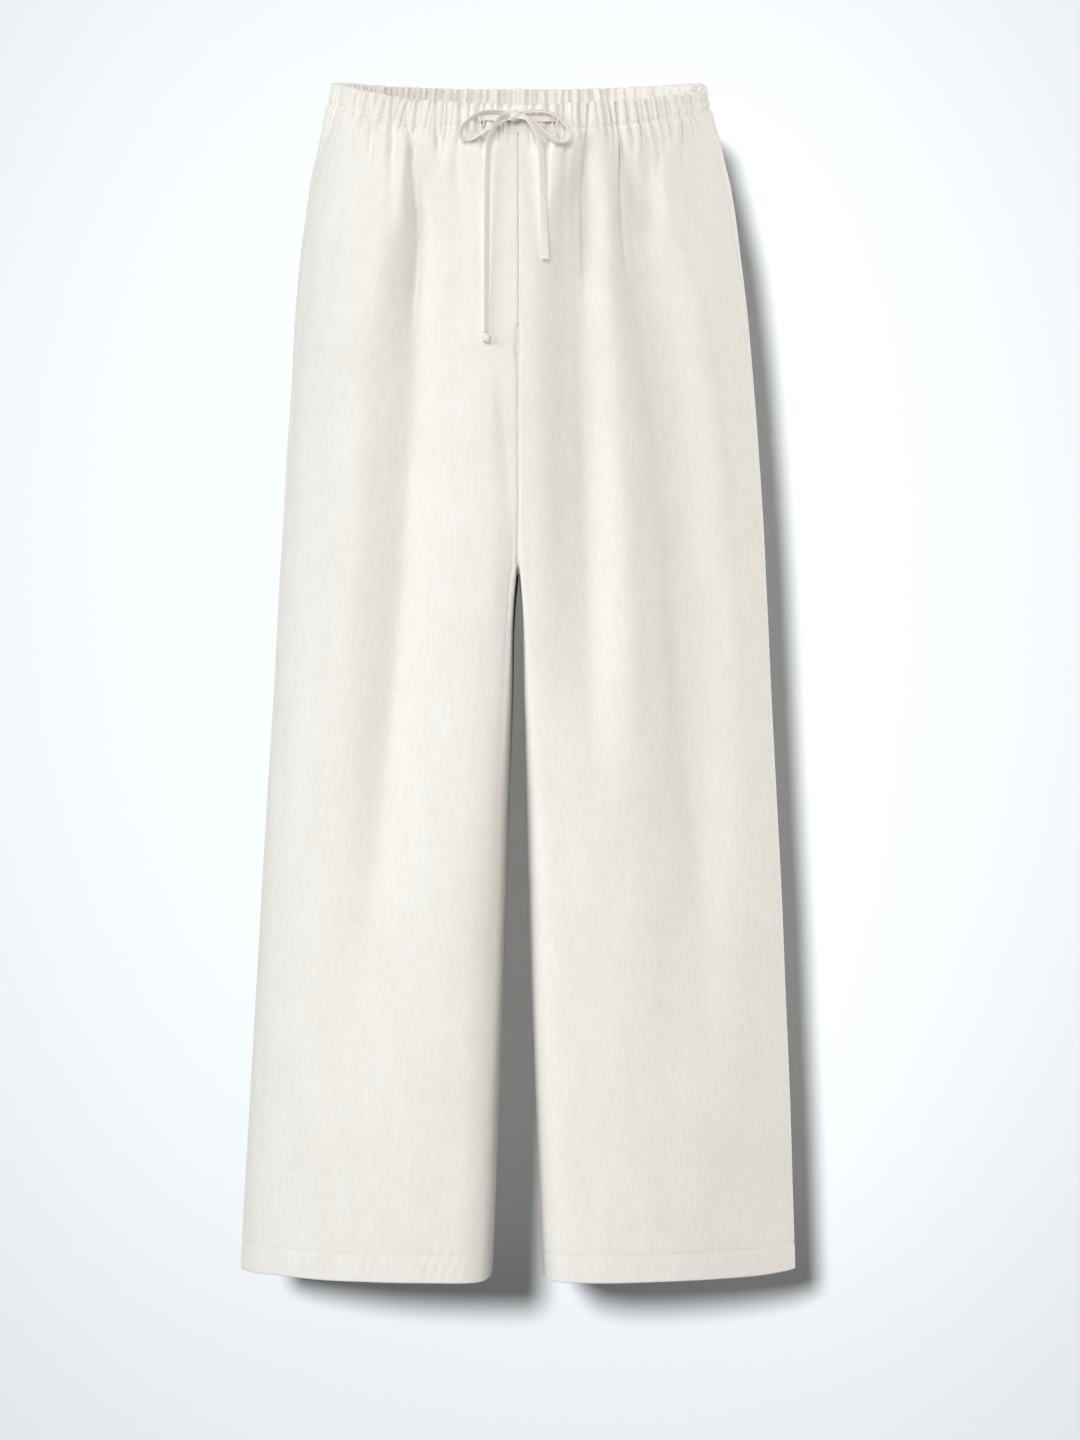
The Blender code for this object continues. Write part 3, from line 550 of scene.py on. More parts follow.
LEFT_ROUTE = (
    (34.0, 47.0, -2.6, 0), (30.6, 47.0, 0.2, 0),
    (28.0, 47.0, 2.7, 0), (20.0, 47.2, 2.7, 0), (10.0, 47.0, 2.8, 0), (2.8, 46.5, 2.8, 0),
    (-2.0, 45.4, 5.0, 45),
    (3.3, 43.4, 8.2, 66), (9.0, 42.2, 8.2, 66), (16.0, 41.8, 8.4, 66), (25.0, 42.8, 8.4, 66),
    (32.4, 46.2, 7.8, 66), (38.4, 51.4, 7.0, 66), (42.8, 57.4, 6.6, 66), (44.4, 62.8, 6.4, 66),
    (43.0, 67.2, 6.4, 66), (38.6, 69.6, 6.4, 66), (32.8, 68.6, 6.6, 66), (26.4, 64.4, 6.8, 66),
    (19.6, 58.0, 7.4, 66), (13.6, 52.2, 8.0, 66), (8.4, 48.4, 8.2, 66), (3.3, 46.6, 8.2, 66),
    (-1.2, 46.6, 10.6, 45),
    (4.2, 47.4, 12.6, 36), (6.8, 48.6, 13.0, 46), (11.0, 53.6, 13.0, 48), (15.6, 61.0, 12.0, 48),
    (18.2, 69.5, 11.0, 46), (19.4, 80.0, 9.6, 42), (20.1, 95.0, 7.6, 34), (20.5, 108.0, 6.2, 28),
    (21.2, 128.0, 5.0, 20), (21.9, 150.0, 4.2, 10), (22.8, 168.0, 3.6, 0),
)
ROUTE_SPACING = 1.4


def smooth_route(rows, spacing):
    """Evenly spaced points of the curve through a route's rows, with the same columns."""
    knots = np.array(rows, dtype=float)
    along = length_along(knots[:, :3])
    places = np.linspace(0.0, along[-1], int(round(along[-1] / spacing)) + 1)
    names = ("along",) + ROUTE_COLUMNS
    table = np.column_stack([along, knots])
    return np.column_stack([column(names, table, name, places) for name in ROUTE_COLUMNS])


print("points of the routes:", len(RIGHT_ROUTE), len(LEFT_ROUTE))

# %% [markdown]
# A flat tie is a loft: one rounded, flat outline carried along the route. The outline has a slightly
# thicker rim on both sides, where the strip's edges are folded in and stitched. `turn` swings it from
# lying flat on the cloth to standing on its edge.

# %% Lofting the tie
RIM_POINTS = 24
RIM_SQUARENESS = 0.42
FLAT_SQUARENESS = 0.75
STITCHED_AT = 0.68                 # the stitched groove, as a share of the half width
STITCHED_DEPTH = 0.30              # and of the thickness
STITCHED_REACH = 0.35              # millimetres
BACK_FACE_SHIFT = 3.0              # so that its two faces don't show the same threads


def tie_outline():
    """The tie's cross-section: distance across its width and through its thickness."""
    turn = round_the_circle(RIM_POINTS)
    across = signed_power(np.cos(turn), RIM_SQUARENESS) * TIE_WIDTH / 2
    through = signed_power(np.sin(turn), FLAT_SQUARENESS) * TIE_THICKNESS / 2
    from_stitches = np.abs(across) - STITCHED_AT * TIE_WIDTH / 2
    stitched = 1.0 - STITCHED_DEPTH * np.exp(-(from_stitches / STITCHED_REACH) ** 2)
    return across, through * stitched


def new_mesh_object(name, points, faces, material, uv=None):
    """A smooth object from points in millimetres; uv holds one flat-cloth coordinate for each point."""
    mesh = bpy.data.meshes.new(name)
    mesh.from_pydata((np.asarray(points) * MM).tolist(), [], faces)
    mesh.shade_smooth()
    if uv is None:
        uv = np.asarray(points)[:, [0, 2]]
    layer = mesh.uv_layers.new(name=THREAD_MAP)
    corner_vertex = np.zeros(len(mesh.loops), dtype=int)
    mesh.loops.foreach_get("vertex_index", corner_vertex)
    layer.data.foreach_set("uv", (np.asarray(uv)[corner_vertex] * MM).ravel())
    mesh.materials.append(material)
    item = bpy.data.objects.new(name, mesh)
    bpy.context.scene.collection.objects.link(item)
    return item


def ride_in_slot(piece):
    """Fixes a piece to the frame's one body."""
    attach(piece, "root")


def loft_faces(rows, around, closed=False):
    """Quads between rings of points, with a face at each end, or on to the first ring again."""
    faces = []
    for row in range(rows if closed else rows - 1):
        here, there = row * around, (row + 1) % rows * around
        for place in range(around):
            following = (place + 1) % around
            faces.append((here + place, here + following, there + following, there + place))
    if not closed:
        faces.append(tuple(range(around))[::-1])
        faces.append(tuple((rows - 1) * around + place for place in range(around)))
    return faces


def route_points(route):
    return np.array([[x, front_of_cloth(x, drop) - off, -drop] for x, drop, off, _ in route])


def tie_piece(name, rows):
    route = smooth_route(rows, ROUTE_SPACING)
    centre = route_points(route)
    tangents = unit(np.gradient(centre, axis=0))
    across, through = tie_outline()
    along = length_along(centre)
    points = []
    uv = []
    for place, tangent, turn, down in zip(centre, tangents, np.radians(route[:, 3]), along):
        flat = np.cross(tangent, [0.0, 1.0, 0.0])
        flat /= max(np.linalg.norm(flat), 0.05)
        on_edge = np.cross(flat, tangent)
        width = unit(flat * math.cos(turn) + on_edge * math.sin(turn))
        thick = np.cross(tangent, width)
        points.append(place + across[:, None] * width + through[:, None] * thick)
        shifted = across + BACK_FACE_SHIFT * (through > 0)
        uv.append(np.column_stack([shifted, np.full(RIM_POINTS, down)]))
    faces = loft_faces(len(points), RIM_POINTS)
    item = new_mesh_object(name, np.vstack(points), faces, TIE_LINEN, np.vstack(uv))
    return item, centre, along[-1]


tie_right, right_centre, right_length = tie_piece("tie_right", RIGHT_ROUTE)
tie_left, left_centre, left_length = tie_piece("tie_left", LEFT_ROUTE)
print("tie lengths:", round(right_length), "and", round(left_length), "mm")

# %% [markdown]
# ## The knots
# The bow's knot is a strand wrapped once round the others. A rounded core with soft diagonal grooves,
# and a flat band round it, read as that wrap from every side. The longer free end is tied off with a
# small knot of its own, and the shorter one is turned in and stitched square.

# %% The bow's knot and the end knot
KNOT = {"x": -3.0, "drop": 46.4, "stand_off": 8.0, "width": 9.8, "depth": 12.0, "height": 8.8}
END_KNOT = {"x": -27.2, "drop": 233.4, "stand_off": 3.9, "width": 6.6, "depth": 5.6, "height": 8.0}
CORE_SQUARENESS = 0.72
CORE_GROOVES = 2.0
CORE_GROOVE_DEPTH = 0.12
CORE_RINGS = 26
CORE_POINTS = 40
BAND_THICKNESS = 1.3
BAND_RINGS = 48
BAND_POINTS = 12
BAND_SQUARENESS = 0.5
BAND_CLEARANCE = 0.1
BAND_NARROWING = 0.22              # where it runs over the core's top and bottom


def knot_core(size, slant):
    """Rings of a rounded block, with grooves that run round it on the slant."""
    rise = np.linspace(-math.pi / 2, math.pi / 2, CORE_RINGS + 2)[1:-1]
    up, turn = np.meshgrid(rise, round_the_circle(CORE_POINTS), indexing="ij")
    wave = 0.5 + 0.5 * np.cos(CORE_GROOVES * turn + slant * up * 2.0)
    groove = 1.0 - CORE_GROOVE_DEPTH * wave ** 6
    level = signed_power(np.cos(up), CORE_SQUARENESS)
    x = size["width"] / 2 * level * signed_power(np.cos(turn), CORE_SQUARENESS) * groove
    y = size["depth"] / 2 * level * signed_power(np.sin(turn), CORE_SQUARENESS) * groove
    z = size["height"] / 2 * signed_power(np.sin(up), CORE_SQUARENESS) * groove
    return np.stack([x, y, z], axis=-1).reshape(-1, 3), loft_faces(CORE_RINGS, CORE_POINTS)


def knot_band(size, width, lean):
    """A flat band once round the core, over its front and back, leaning by `lean` millimetres."""
    outline = round_the_circle(BAND_POINTS)
    across = signed_power(np.cos(outline), BAND_SQUARENESS) * width / 2
    through = np.sin(outline) * BAND_THICKNESS / 2
    reach = np.array([0.0, size["depth"] / 2 + BAND_CLEARANCE, size["height"] / 2 + BAND_CLEARANCE])
    points = []
    for angle in round_the_circle(BAND_RINGS):
        out = np.array([0.0, -math.cos(angle), math.sin(angle)])
        centre = out * reach + np.array([lean * math.sin(angle), 0.0, 0.0])
        narrow = 1.0 - BAND_NARROWING * abs(math.sin(angle)) ** 3
        points.append(centre + np.column_stack([across * narrow, through * out[1], through * out[2]]))
    return np.vstack(points), loft_faces(BAND_RINGS, BAND_POINTS, closed=True)


def join_parts(parts):
    """Several lists of points and faces as one."""
    points = []
    faces = []
    for part_points, part_faces in parts:
        start = sum(len(group) for group in points)
        points.append(np.asarray(part_points))
        faces += [tuple(start + corner for corner in face) for face in part_faces]
    return np.vstack(points), faces


def knot_piece(name, size, slant, band_width, lean):
    points, faces = join_parts([knot_core(size, slant), knot_band(size, band_width, lean)])
    place = [size["x"], front_of_cloth(size["x"], size["drop"]) - size["stand_off"], -size["drop"]]
    return new_mesh_object(name, points + np.array(place), faces, TIE_LINEN)


bow_knot = knot_piece("bow_knot", KNOT, 1.0, 5.4, 1.1)
end_knot = knot_piece("tie_end_knot", END_KNOT, -1.4, 3.6, -1.6)
print("knots:", bow_knot.name, end_knot.name)

# %% [markdown]
# Both halves and the two knots are fixed to the frame's one body. They replace the plain solids of the
# drawstring, which are hidden.

# %% Fixing the tie to the frame
for piece in (tie_right, tie_left, bow_knot, end_knot):
    ride_in_slot(piece)
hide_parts("drawstring_lead_right", "drawstring_loop_right", "drawstring_tail_right")
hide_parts("drawstring_lead_left", "drawstring_loop_left", "drawstring_tail_left")
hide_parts("drawstring_knot")
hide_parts("drawstring_end_knot")

# %% [markdown]
# ## Gathers
# Elastic in the casing draws a wide waist together, and the spare cloth stands in folds. A gather is a
# narrow groove between two broad crests, and no two are alike: some stop at the casing's seam, some run
# on down the leg and join others in a V. So each one on the front is listed in a table: its
# distance from the middle plane at the waist edge, at the casing's seam and where it runs out, how far
# below the seam that is, and how strong it is.

# %% The gathers of the front
GATHER_COLUMNS = ("top", "seam", "end", "reach", "strength")
FRONT_GATHERS = {
    "front_right": (
        (16.5, 16.0, 15.0, 8, 0.65),
        (33.0, 33.6, 30.5, 10, 0.91),
        (41.5, 42.0, 43.0, 12, 0.59),
        (50.4, 49.2, 49.0, 6, 1.00),
        (60.0, 61.0, 63.0, 22, 0.65),
        (70.0, 70.5, 68.8, 14, 1.00),
        (73.1, 78.3, 80.0, 8, 0.52),
        (85.1, 88.6, 93.4, 34, 1.00),
        (90.3, 94.6, 93.0, 20, 1.00),
        (94.3, 100.2, 102.0, 10, 0.98),
        (99.0, 106.3, 108.0, 16, 1.00),
        (107.8, 109.0, 110.0, 26, 1.00),
        (111.1, 118.1, 120.0, 12, 0.98),
        (120.2, 126.0, 127.0, 20, 1.00),
        (128.6, 133.7, 135.0, 14, 1.00),
        (136.0, 141.0, 143.0, 18, 0.78),
    ),
    "front_left": (
        (13.0, 14.0, 15.0, 9, 0.59),
        (24.0, 24.6, 25.5, 12, 0.59),
        (33.9, 35.2, 36.5, 12, 0.65),
        (38.6, 39.6, 41.0, 24, 1.00),
        (51.7, 53.0, 57.4, 36, 1.00),
        (60.0, 58.6, 57.6, 30, 1.00),
        (71.7, 75.4, 77.0, 14, 1.00),
        (76.8, 80.8, 82.5, 18, 0.98),
        (83.1, 85.4, 89.5, 34, 1.00),
        (91.0, 95.0, 98.0, 16, 0.78),
        (99.4, 104.1, 107.0, 20, 1.00),
        (108.1, 113.0, 120.5, 30, 1.00),
        (117.0, 121.0, 125.0, 18, 0.78),
        (125.0, 128.5, 131.0, 14, 0.98),
        (133.7, 139.6, 144.0, 26, 1.00),
        (138.9, 147.0, 151.0, 16, 1.00),
        (148.0, 151.4, 155.0, 16, 0.91),
    ),
}
print("gathers placed on the front:", {panel: len(rows) for panel, rows in FRONT_GATHERS.items()})

# %% [markdown]
# The back has the same gathers in another order. They are worked out by a loop from uneven steps, which
# a seeded random generator gives, so that they come out the same at every run. The same loop gives the
# front its smallest ones, which hardly leave the casing, and the casing's inner layer its own. A place on
# the back is counted along the cloth, because the back panels reach round the sides.

# %% The gathers of the back and of the casing's inside
BACK_STEP = 8.6
SMALL_STEP = 8.0
INSIDE_STEP = 6.6
FRONT_WIDTH = 150.0
BACK_WIDTH = 262.0
SHORTEST = 6.0
LONGEST_SMALL = 12.0
SPREADING = 0.030                  # how much farther out a gather is at the seam, for each millimetre
STRONG = (0.45, 0.7, 0.85, 1.0)
WEAK = (0.35, 0.5, 0.7)


def uneven_gathers(panel, step, seed, strengths=STRONG, longest=38.0):
    """Rows like those of the front, uneven in spacing, slant, reach and strength."""
    random = np.random.RandomState(seed)
    rows = []
    place = 4.0 + 4.0 * random.rand()
    width = FRONT_WIDTH if PANELS[panel][0] == "front" else BACK_WIDTH
    while place < width:
        slant = place * SPREADING + random.uniform(-1.6, 1.6)
        reach = SHORTEST + (longest - SHORTEST) * random.rand() ** 1.6
        drift = 0.10 * reach + random.uniform(-2.0, 2.0)
        rows.append((place, place + slant, place + slant + drift, reach, random.choice(strengths)))
        place += step * random.uniform(0.55, 1.45)
    return rows


def small_gathers(panel, seed):
    return uneven_gathers(panel, SMALL_STEP, seed, WEAK, LONGEST_SMALL)


GATHERS = {
    "front_right": list(FRONT_GATHERS["front_right"]) + small_gathers("front_right", 3),
    "front_left": list(FRONT_GATHERS["front_left"]) + small_gathers("front_left", 8),
    "back_right": uneven_gathers("back_right", BACK_STEP, 7),
    "back_left": uneven_gathers("back_left", BACK_STEP, 11),
}
INSIDE_GATHERS = {panel: uneven_gathers(panel, INSIDE_STEP, 21 + number, STRONG[1:])
                  for number, panel in enumerate(PANELS)}
for panel in PANELS:
    print(panel, "gathers:", len(GATHERS[panel]), "and", len(INSIDE_GATHERS[panel]), "inside the casing")

# %% [markdown]
# A groove's depth at a point follows from its distance along the cloth to the groove's line. Two bells
# are added, a narrow one for the crease and a broad one for its shoulders. Grooves that meet are
# multiplied rather than added, so a V runs into one groove and never digs twice as deep.

# %% The depth of the gathers
TOP_OF_CASING = -25.0              # height of the waist edge over the casing's seam, for the tables
GROOVE_WIDTH = 1.05                # half width of a crease in the casing
GROOVE_WIDENING = 0.055            # how much wider it gets with each millimetre below the seam
SHOULDER_WIDTH = 3.0               # half width of its shoulders, in groove widths
SHOULDER_SHARE = 0.30
LASTING = 2.3                      # reaches after which a groove has run out
FULL_GROOVE = 0.96


def groove_depth(rows, panel, points, along, below):
    """How deep the gathers are, from 0 on a crest to 1 in a groove. `points` are on the smooth cloth,
    `along` is each one's place along its row, and `below` its place below the seam."""
    left_over = np.ones(along.shape)
    distance = np.abs(points[..., 0]) if PANELS[panel][0] == "front" else along
    level = below.mean(axis=1)
    for row in rows[panel]:
        gather = dict(zip(GATHER_COLUMNS, row))
        line = np.interp(level, [TOP_OF_CASING, 0.0, gather["reach"]],
                         [gather["top"], gather["seam"], gather["end"]])
        centre = np.array([np.interp(x, d, s) for x, d, s in zip(line, distance, along)])
        off = np.abs(along - centre[:, None])
        width = GROOVE_WIDTH + GROOVE_WIDENING * np.clip(below, 0.0, None)
        crease = np.exp(-(off / width) ** 1.4)
        shoulder = np.exp(-(off / (width * SHOULDER_WIDTH)) ** 2)
        lasting = smooth_step(1.0 - np.clip(below, 0.0, None) / (gather["reach"] * LASTING))
        depth = (crease * (1 - SHOULDER_SHARE) + shoulder * SHOULDER_SHARE) * gather["strength"] * lasting
        left_over *= 1.0 - FULL_GROOVE * depth
    return 1.0 - left_over


print("groove half width 20 mm below the seam:", round(GROOVE_WIDTH + 20 * GROOVE_WIDENING, 2), "mm")

# %% [markdown]
# ## Folds
# From the gathers, long soft folds fall down each leg. They are troughs and ridges with smooth sides,
# each one a row of its panel: the drops where it starts and ends, its distance from the middle plane at
# its top, middle and end, its depth (negative for a trough), and its reach towards the middle plane and
# away from it. A fold starts narrow under the gathers and widens on its way down. A trough turns sharply
# at its bottom and its two sides run out slowly, as cloth does. The first table is the large ones that
# the solid frame has too; the second adds the smaller creases.

# %% The folds
FOLD_COLUMNS = ("from_drop", "to_drop", "x_top", "x_mid", "x_end", "depth", "half_in", "half_out")
FOLDS = {
    "front_right": (
        (24, 960, 84, 108, 158, -24.5, 76, 50),
        (26, 150, 105, 109, 110, -3.5, 10, 10),
        (30, 330, 52, 50, 44, -4.5, 16, 24),
        (246, 800, 25, 26, 34, 4.0, 22, 62),
        (330, 1010, 62, 60, 66, 3.0, 44, 44),
        (70, 700, 142, 150, 160, 2.0, 28, 28),
        (370, 1030, 0, 0, 0, -6.0, 30, 44),
    ),
    "front_left": (
        (24, 650, 52, 57, 70, -21.5, 46, 52),
        (24, 930, 86, 148, 150, -24.5, 62, 52),
        (26, 160, 108, 116, 124, -4.5, 12, 12),
        (28, 190, 138, 147, 154, -4.5, 14, 14),
        (90, 720, 74, 84, 92, 4.0, 28, 30),
        (60, 930, 138, 188, 190, 3.0, 32, 20),
    ),
    "back_right": (
        (24, 640, 85, 92, 105, -12.0, 54, 34),
        (30, 940, 140, 152, 160, -8.0, 30, 44),
        (240, 760, 46, 52, 60, -4.0, 22, 34),
    ),
    "back_left": (
        (26, 900, 70, 86, 112, -13.0, 36, 58),
        (30, 430, 125, 137, 142, -7.0, 34, 24),
        (320, 980, 150, 134, 138, -6.5, 30, 44),
    ),
}
CREASES = {
    "front_right": (
        (24, 230, 92, 94, 99, -5.5, 4, 7),
        (26, 120, 30, 29, 28, -1.6, 6, 6),
        (24, 110, 68, 66, 64, -1.4, 8, 8),
        (24, 96, 126, 128, 130, -1.6, 6, 6),
    ),
    "front_left": (
        (24, 210, 58, 58.5, 59, -4.5, 4, 6),
        (28, 150, 40, 40, 40, -1.6, 6, 6),
        (24, 190, 88, 92, 100, -4.0, 4, 7),
        (24, 110, 26, 24, 22, -1.2, 6, 6),
        (30, 105, 162, 169, 175, 1.2, 4, 4),
    ),
    "back_right": (
        (24, 170, 40, 42, 46, -2.0, 7, 7),
        (24, 130, 108, 112, 116, -2.2, 7, 7),
        (24, 110, 66, 67, 70, -1.6, 6, 6),
    ),
    "back_left": (
        (24, 150, 30, 33, 35, -1.8, 6, 6),
        (24, 180, 98, 102, 108, -2.4, 7, 7),
        (24, 120, 52, 54, 57, -1.6, 6, 6),
    ),
}
FOLD_START_SHARE = 0.12            # of its length, in which a fold gets its full depth
FOLD_TOP_WIDTH = 0.4               # its width at its top, as a share of its full width
FOLD_WIDE_SHARE = 0.28             # of its length, in which it gets its full width
FOLD_END_SHARE = 0.45              # of its length, in which it runs out
TROUGH_ROUND = 0.34                # how round its bottom is, as a share of its reach


def trough_profile(off):
    """1 at the bottom of a trough and 0 at its reach: steepest near the bottom, which is rounded."""
    rounded = np.sqrt(off ** 2 + TROUGH_ROUND ** 2) - TROUGH_ROUND
    return (1 - rounded / (math.sqrt(1 + TROUGH_ROUND ** 2) - TROUGH_ROUND)) ** 2


def fold_height(table, panel, x, drop):
    """All the folds of a table on one panel, in millimetres along the normal."""
    total = np.zeros(np.shape(x))
    for row in table[panel]:
        fold = dict(zip(FOLD_COLUMNS, row))
        q = (drop - fold["from_drop"]) / (fold["to_drop"] - fold["from_drop"])
        inside = np.clip(q, 0.0, 1.0)
        centre = (fold["x_top"] * (1 - inside) * (1 - 2 * inside)
                  + fold["x_mid"] * 4 * inside * (1 - inside)
                  + fold["x_end"] * inside * (2 * inside - 1))
        strength = smooth_step(inside / FOLD_START_SHARE) * smooth_step((1 - inside) / FOLD_END_SHARE)
        width = FOLD_TOP_WIDTH + (1 - FOLD_TOP_WIDTH) * smooth_step(inside / FOLD_WIDE_SHARE)
        off = (np.abs(x) - centre) / width
        off = np.clip(np.where(off < 0, -off / fold["half_in"], off / fold["half_out"]), 0.0, 1.0)
        profile = trough_profile(off) if fold["depth"] < 0 else (1 - off ** 2) ** 2
        total += fold["depth"] * strength * profile
    return total


print("folds and creases:", sum(map(len, FOLDS.values())), sum(map(len, CREASES.values())))

# %% [markdown]
# Washed linen is never quite smooth. A soft random unevenness, longer down the leg than across it,
# keeps large areas alive. It is read from a small table of random heights, smoothly joined, and fades
# out at the seams, where the next panel has to meet it.

# %% Softly uneven cloth
NOISE_TABLE = 64


def soft_noise(across, down, seed):
    """Smooth random heights between -1 and 1; a step of 1 in either direction is one bump."""
    table = np.random.RandomState(seed).uniform(-1.0, 1.0, (NOISE_TABLE, NOISE_TABLE))
    i = np.floor(across).astype(int)
    j = np.floor(down).astype(int)
    u = smooth_step(across - i)
    v = smooth_step(down - j)
    i, j, i2, j2 = i % NOISE_TABLE, j % NOISE_TABLE, (i + 1) % NOISE_TABLE, (j + 1) % NOISE_TABLE
    upper = table[i, j] * (1 - u) + table[i2, j] * u
    lower = table[i, j2] * (1 - u) + table[i2, j2] * u
    return upper * (1 - v) + lower * v


UNEVEN = (                         # height, width and length of the bumps, in millimetres
    (0.55, 34.0, 210.0),
    (0.28, 17.0, 90.0),
    (0.10, 8.0, 36.0),
)


def unevenness(panel, from_side, drop):
    seed = 40 + 10 * list(PANELS).index(panel)
    total = np.zeros(from_side.shape)
    for number, (height, width, length) in enumerate(UNEVEN):
        total += height * soft_noise(from_side / width + 3.1 * number, drop / length, seed + number)
    return total


print("unevenness up to", round(sum(row[0] for row in UNEVEN), 2), "mm")

# %% [markdown]
# ## One function for every point of the cloth
# The pieces overlap at seams and folds, so it pays to have one function that gives the finished surface
# anywhere. It takes rows of places on a panel and returns the points with gathers, folds, unevenness and
# the dip at each sewn edge, together with the direction in which the cloth is thick.

# %% The finished surface
CASING_CREST = 1.0                 # how far a crest stands out, in the casing
CASING_GROOVE = 6.4                # and how far the deepest groove lies under the crests
PANEL_CREST = 1.3
PANEL_GROOVE = 6.0
GATHER_FADE = 62.0                 # the crests have sunk back at this distance below the seam
PUFF = 1.1                         # the cloth swells just below the casing's seam
PUFF_AT = 9.0
SEAM_PINCH = 1.4                   # the casing's seam draws the cloth in
SEAM_PINCH_WIDTH = 1.9
SEAM_DIP = 0.40
SEAM_DIP_WIDTH = 1.0
SIDE_CALM = 4.0                    # the gathers run out this far from the side seam
EDGE_CALM = 14.0                   # and the folds this far from any seam
UNEVEN_FROM = 40.0                 # the unevenness is whole at this distance below the casing's seam
CASING_BLEND = 3.0
FOLDS_FADE = (0.15, 0.5)           # folds run out where the cloth turns to face the side


def to_side_seam(along):
    return along[:, -1:] - along


def row_lengths(points):
    return np.array([length_along(row) for row in points])


def off_side_seam(along):
    """0 at the side seam, and 1 from where the gathers are at their full depth."""
    return smooth_step(to_side_seam(along) / SIDE_CALM)


def cloth(panel, share, drop, below):
    """Points, normals, groove depth and place along the row, for a grid of places on a panel."""
    side = PANELS[panel][1]
    base = base_surface(panel, share, drop)
    normal = base_normal(panel, share, drop)
    along = row_lengths(base)
    depth = groove_depth(GATHERS, panel, base, along, below) * off_side_seam(along)
    in_casing = smooth_step(1.0 - below / CASING_BLEND)
    fade = smooth_step(1.0 - np.clip(below, 0.0, None) / GATHER_FADE)
    crest = CASING_CREST * in_casing + PANEL_CREST * (1 - in_casing) * fade
    reach = CASING_GROOVE * in_casing + PANEL_GROOVE * (1 - in_casing)
    low = np.clip(below, 0.0, None) / PUFF_AT
    puff = PUFF * low * np.exp(1.0 - low)
    to_edge = np.minimum(along, to_side_seam(along))
    off_edge = smooth_step(to_edge / EDGE_CALM)
    faces_out = smooth_step((np.abs(normal[..., 1]) - FOLDS_FADE[0]) / FOLDS_FADE[1])
    folded = (fold_height(FOLDS, panel, base[..., 0], drop)
              + fold_height(CREASES, panel, base[..., 0], drop)) * faces_out * off_edge
    rough = unevenness(panel, to_side_seam(along), drop) * off_edge * smooth_step(below / UNEVEN_FROM)
    dip = SEAM_DIP * np.exp(-(to_edge / SEAM_DIP_WIDTH) ** 2)
    pinch = SEAM_PINCH * np.exp(-(below / SEAM_PINCH_WIDTH) ** 2)
    push = crest + puff * (1 - depth) - reach * depth + folded + rough - dip - pinch
    points = base + normal * push[..., None]
    points[..., 0] = side * np.maximum(side * points[..., 0], SEAM_GAP / 2)
    return points, normal, depth, along


print("deepest groove:", CASING_GROOVE, "mm under the crests")

# %% [markdown]
# ## The leg panels
# A panel is one grid of rows. They are close together at the gathers and at the hem, and wider in
# between. At the top the cloth tucks under the casing; at the bottom it turns in over the hem's edge and
# runs back up inside, as the sewn turn-up does. Both sides end in a seam allowance folded back inside.

# %% The rows and columns of a panel
COLUMNS = 184
CASING_MEAN = 21.0
LEVEL_BLEND = (36.0, 110.0)        # between these distances below the seam, rows turn level
HEM_RADIUS = 0.9
ALLOWANCE = ((0.020, 1.5), (0.010, 1.4), (0.0, 0.7))   # share in from the edge, millimetres inward


def panel_rows():
    """Distances below the casing's seam, with a row exactly at the crotch point."""
    crotch = CROTCH_DROP - CASING_MEAN
    hem = OUTSEAM - CASING_MEAN
    stitch = hem - HEM_DEPTH
    return np.concatenate([
        np.linspace(-2.4, 44.0, 30)[:-1],
        np.linspace(44.0, 110.0, 24)[:-1],
        np.linspace(110.0, crotch - 52.0, 20)[:-1],
        np.linspace(crotch - 52.0, crotch, 33)[:-1],
        np.linspace(crotch, crotch + 160.0, 32)[:-1],
        np.linspace(crotch + 160.0, stitch - 4.0, 62)[:-1],
        np.linspace(stitch - 4.0, hem, 19),
    ])


def panel_places(panel, below):
    """Shares and drops of a panel's grid."""
    share = np.linspace(0.0, 1.0, COLUMNS)
    level = smooth_step((below - LEVEL_BLEND[0]) / (LEVEL_BLEND[1] - LEVEL_BLEND[0]))[:, None]
    casing = casing_depth(panel, share)[None, :] * (1 - level) + CASING_MEAN * level
    return np.broadcast_to(share, (len(below), COLUMNS)), casing + below[:, None]


print("rows of a panel:", len(panel_rows()), "columns:", COLUMNS)

# %% [markdown]
# The hem's stitching pulls the two layers together: a shallow line with small, slanting puckers round
# it. A sewn edge is never a ruler line either, so the lower edge rises and falls by half a millimetre.

# %% The hem's line and puckers
HEM_LINE = 0.55
HEM_LINE_WIDTH = 1.1
PUCKER = 0.38
PUCKER_PITCH = 9.5
PUCKER_REACH = 26.0
PUCKER_SLANT = 0.35
PUCKER_WANDER = 5.0                # how unevenly the puckers follow each other
HEM_SEAM_CALM = 12.0               # the puckers run out this far from any seam
HEM_RISE = 0.6                     # how far the lower edge rises and falls
HEM_RISE_LENGTH = 46.0


def hem_relief(panel, along, drop):
    """What the stitching does to the surface near the hem."""
    above = (OUTSEAM - HEM_DEPTH) - drop
    line = -HEM_LINE * np.exp(-(above / HEM_LINE_WIDTH) ** 2)
    number = list(PANELS).index(panel)
    wander = soft_noise(along / 31.0, drop / 200.0, 70 + number)
    waves = np.sin(2.0 * math.pi * (along + PUCKER_SLANT * above) / PUCKER_PITCH + PUCKER_WANDER * wander)
    size = 0.5 + 0.5 * soft_noise(along / 24.0 + 9.0, drop / 60.0, 80 + number)
    near = np.exp(-(above / PUCKER_REACH) ** 2)
    edge = smooth_step(np.minimum(along, to_side_seam(along)) / HEM_SEAM_CALM)
    return line + PUCKER * waves * size * near * edge


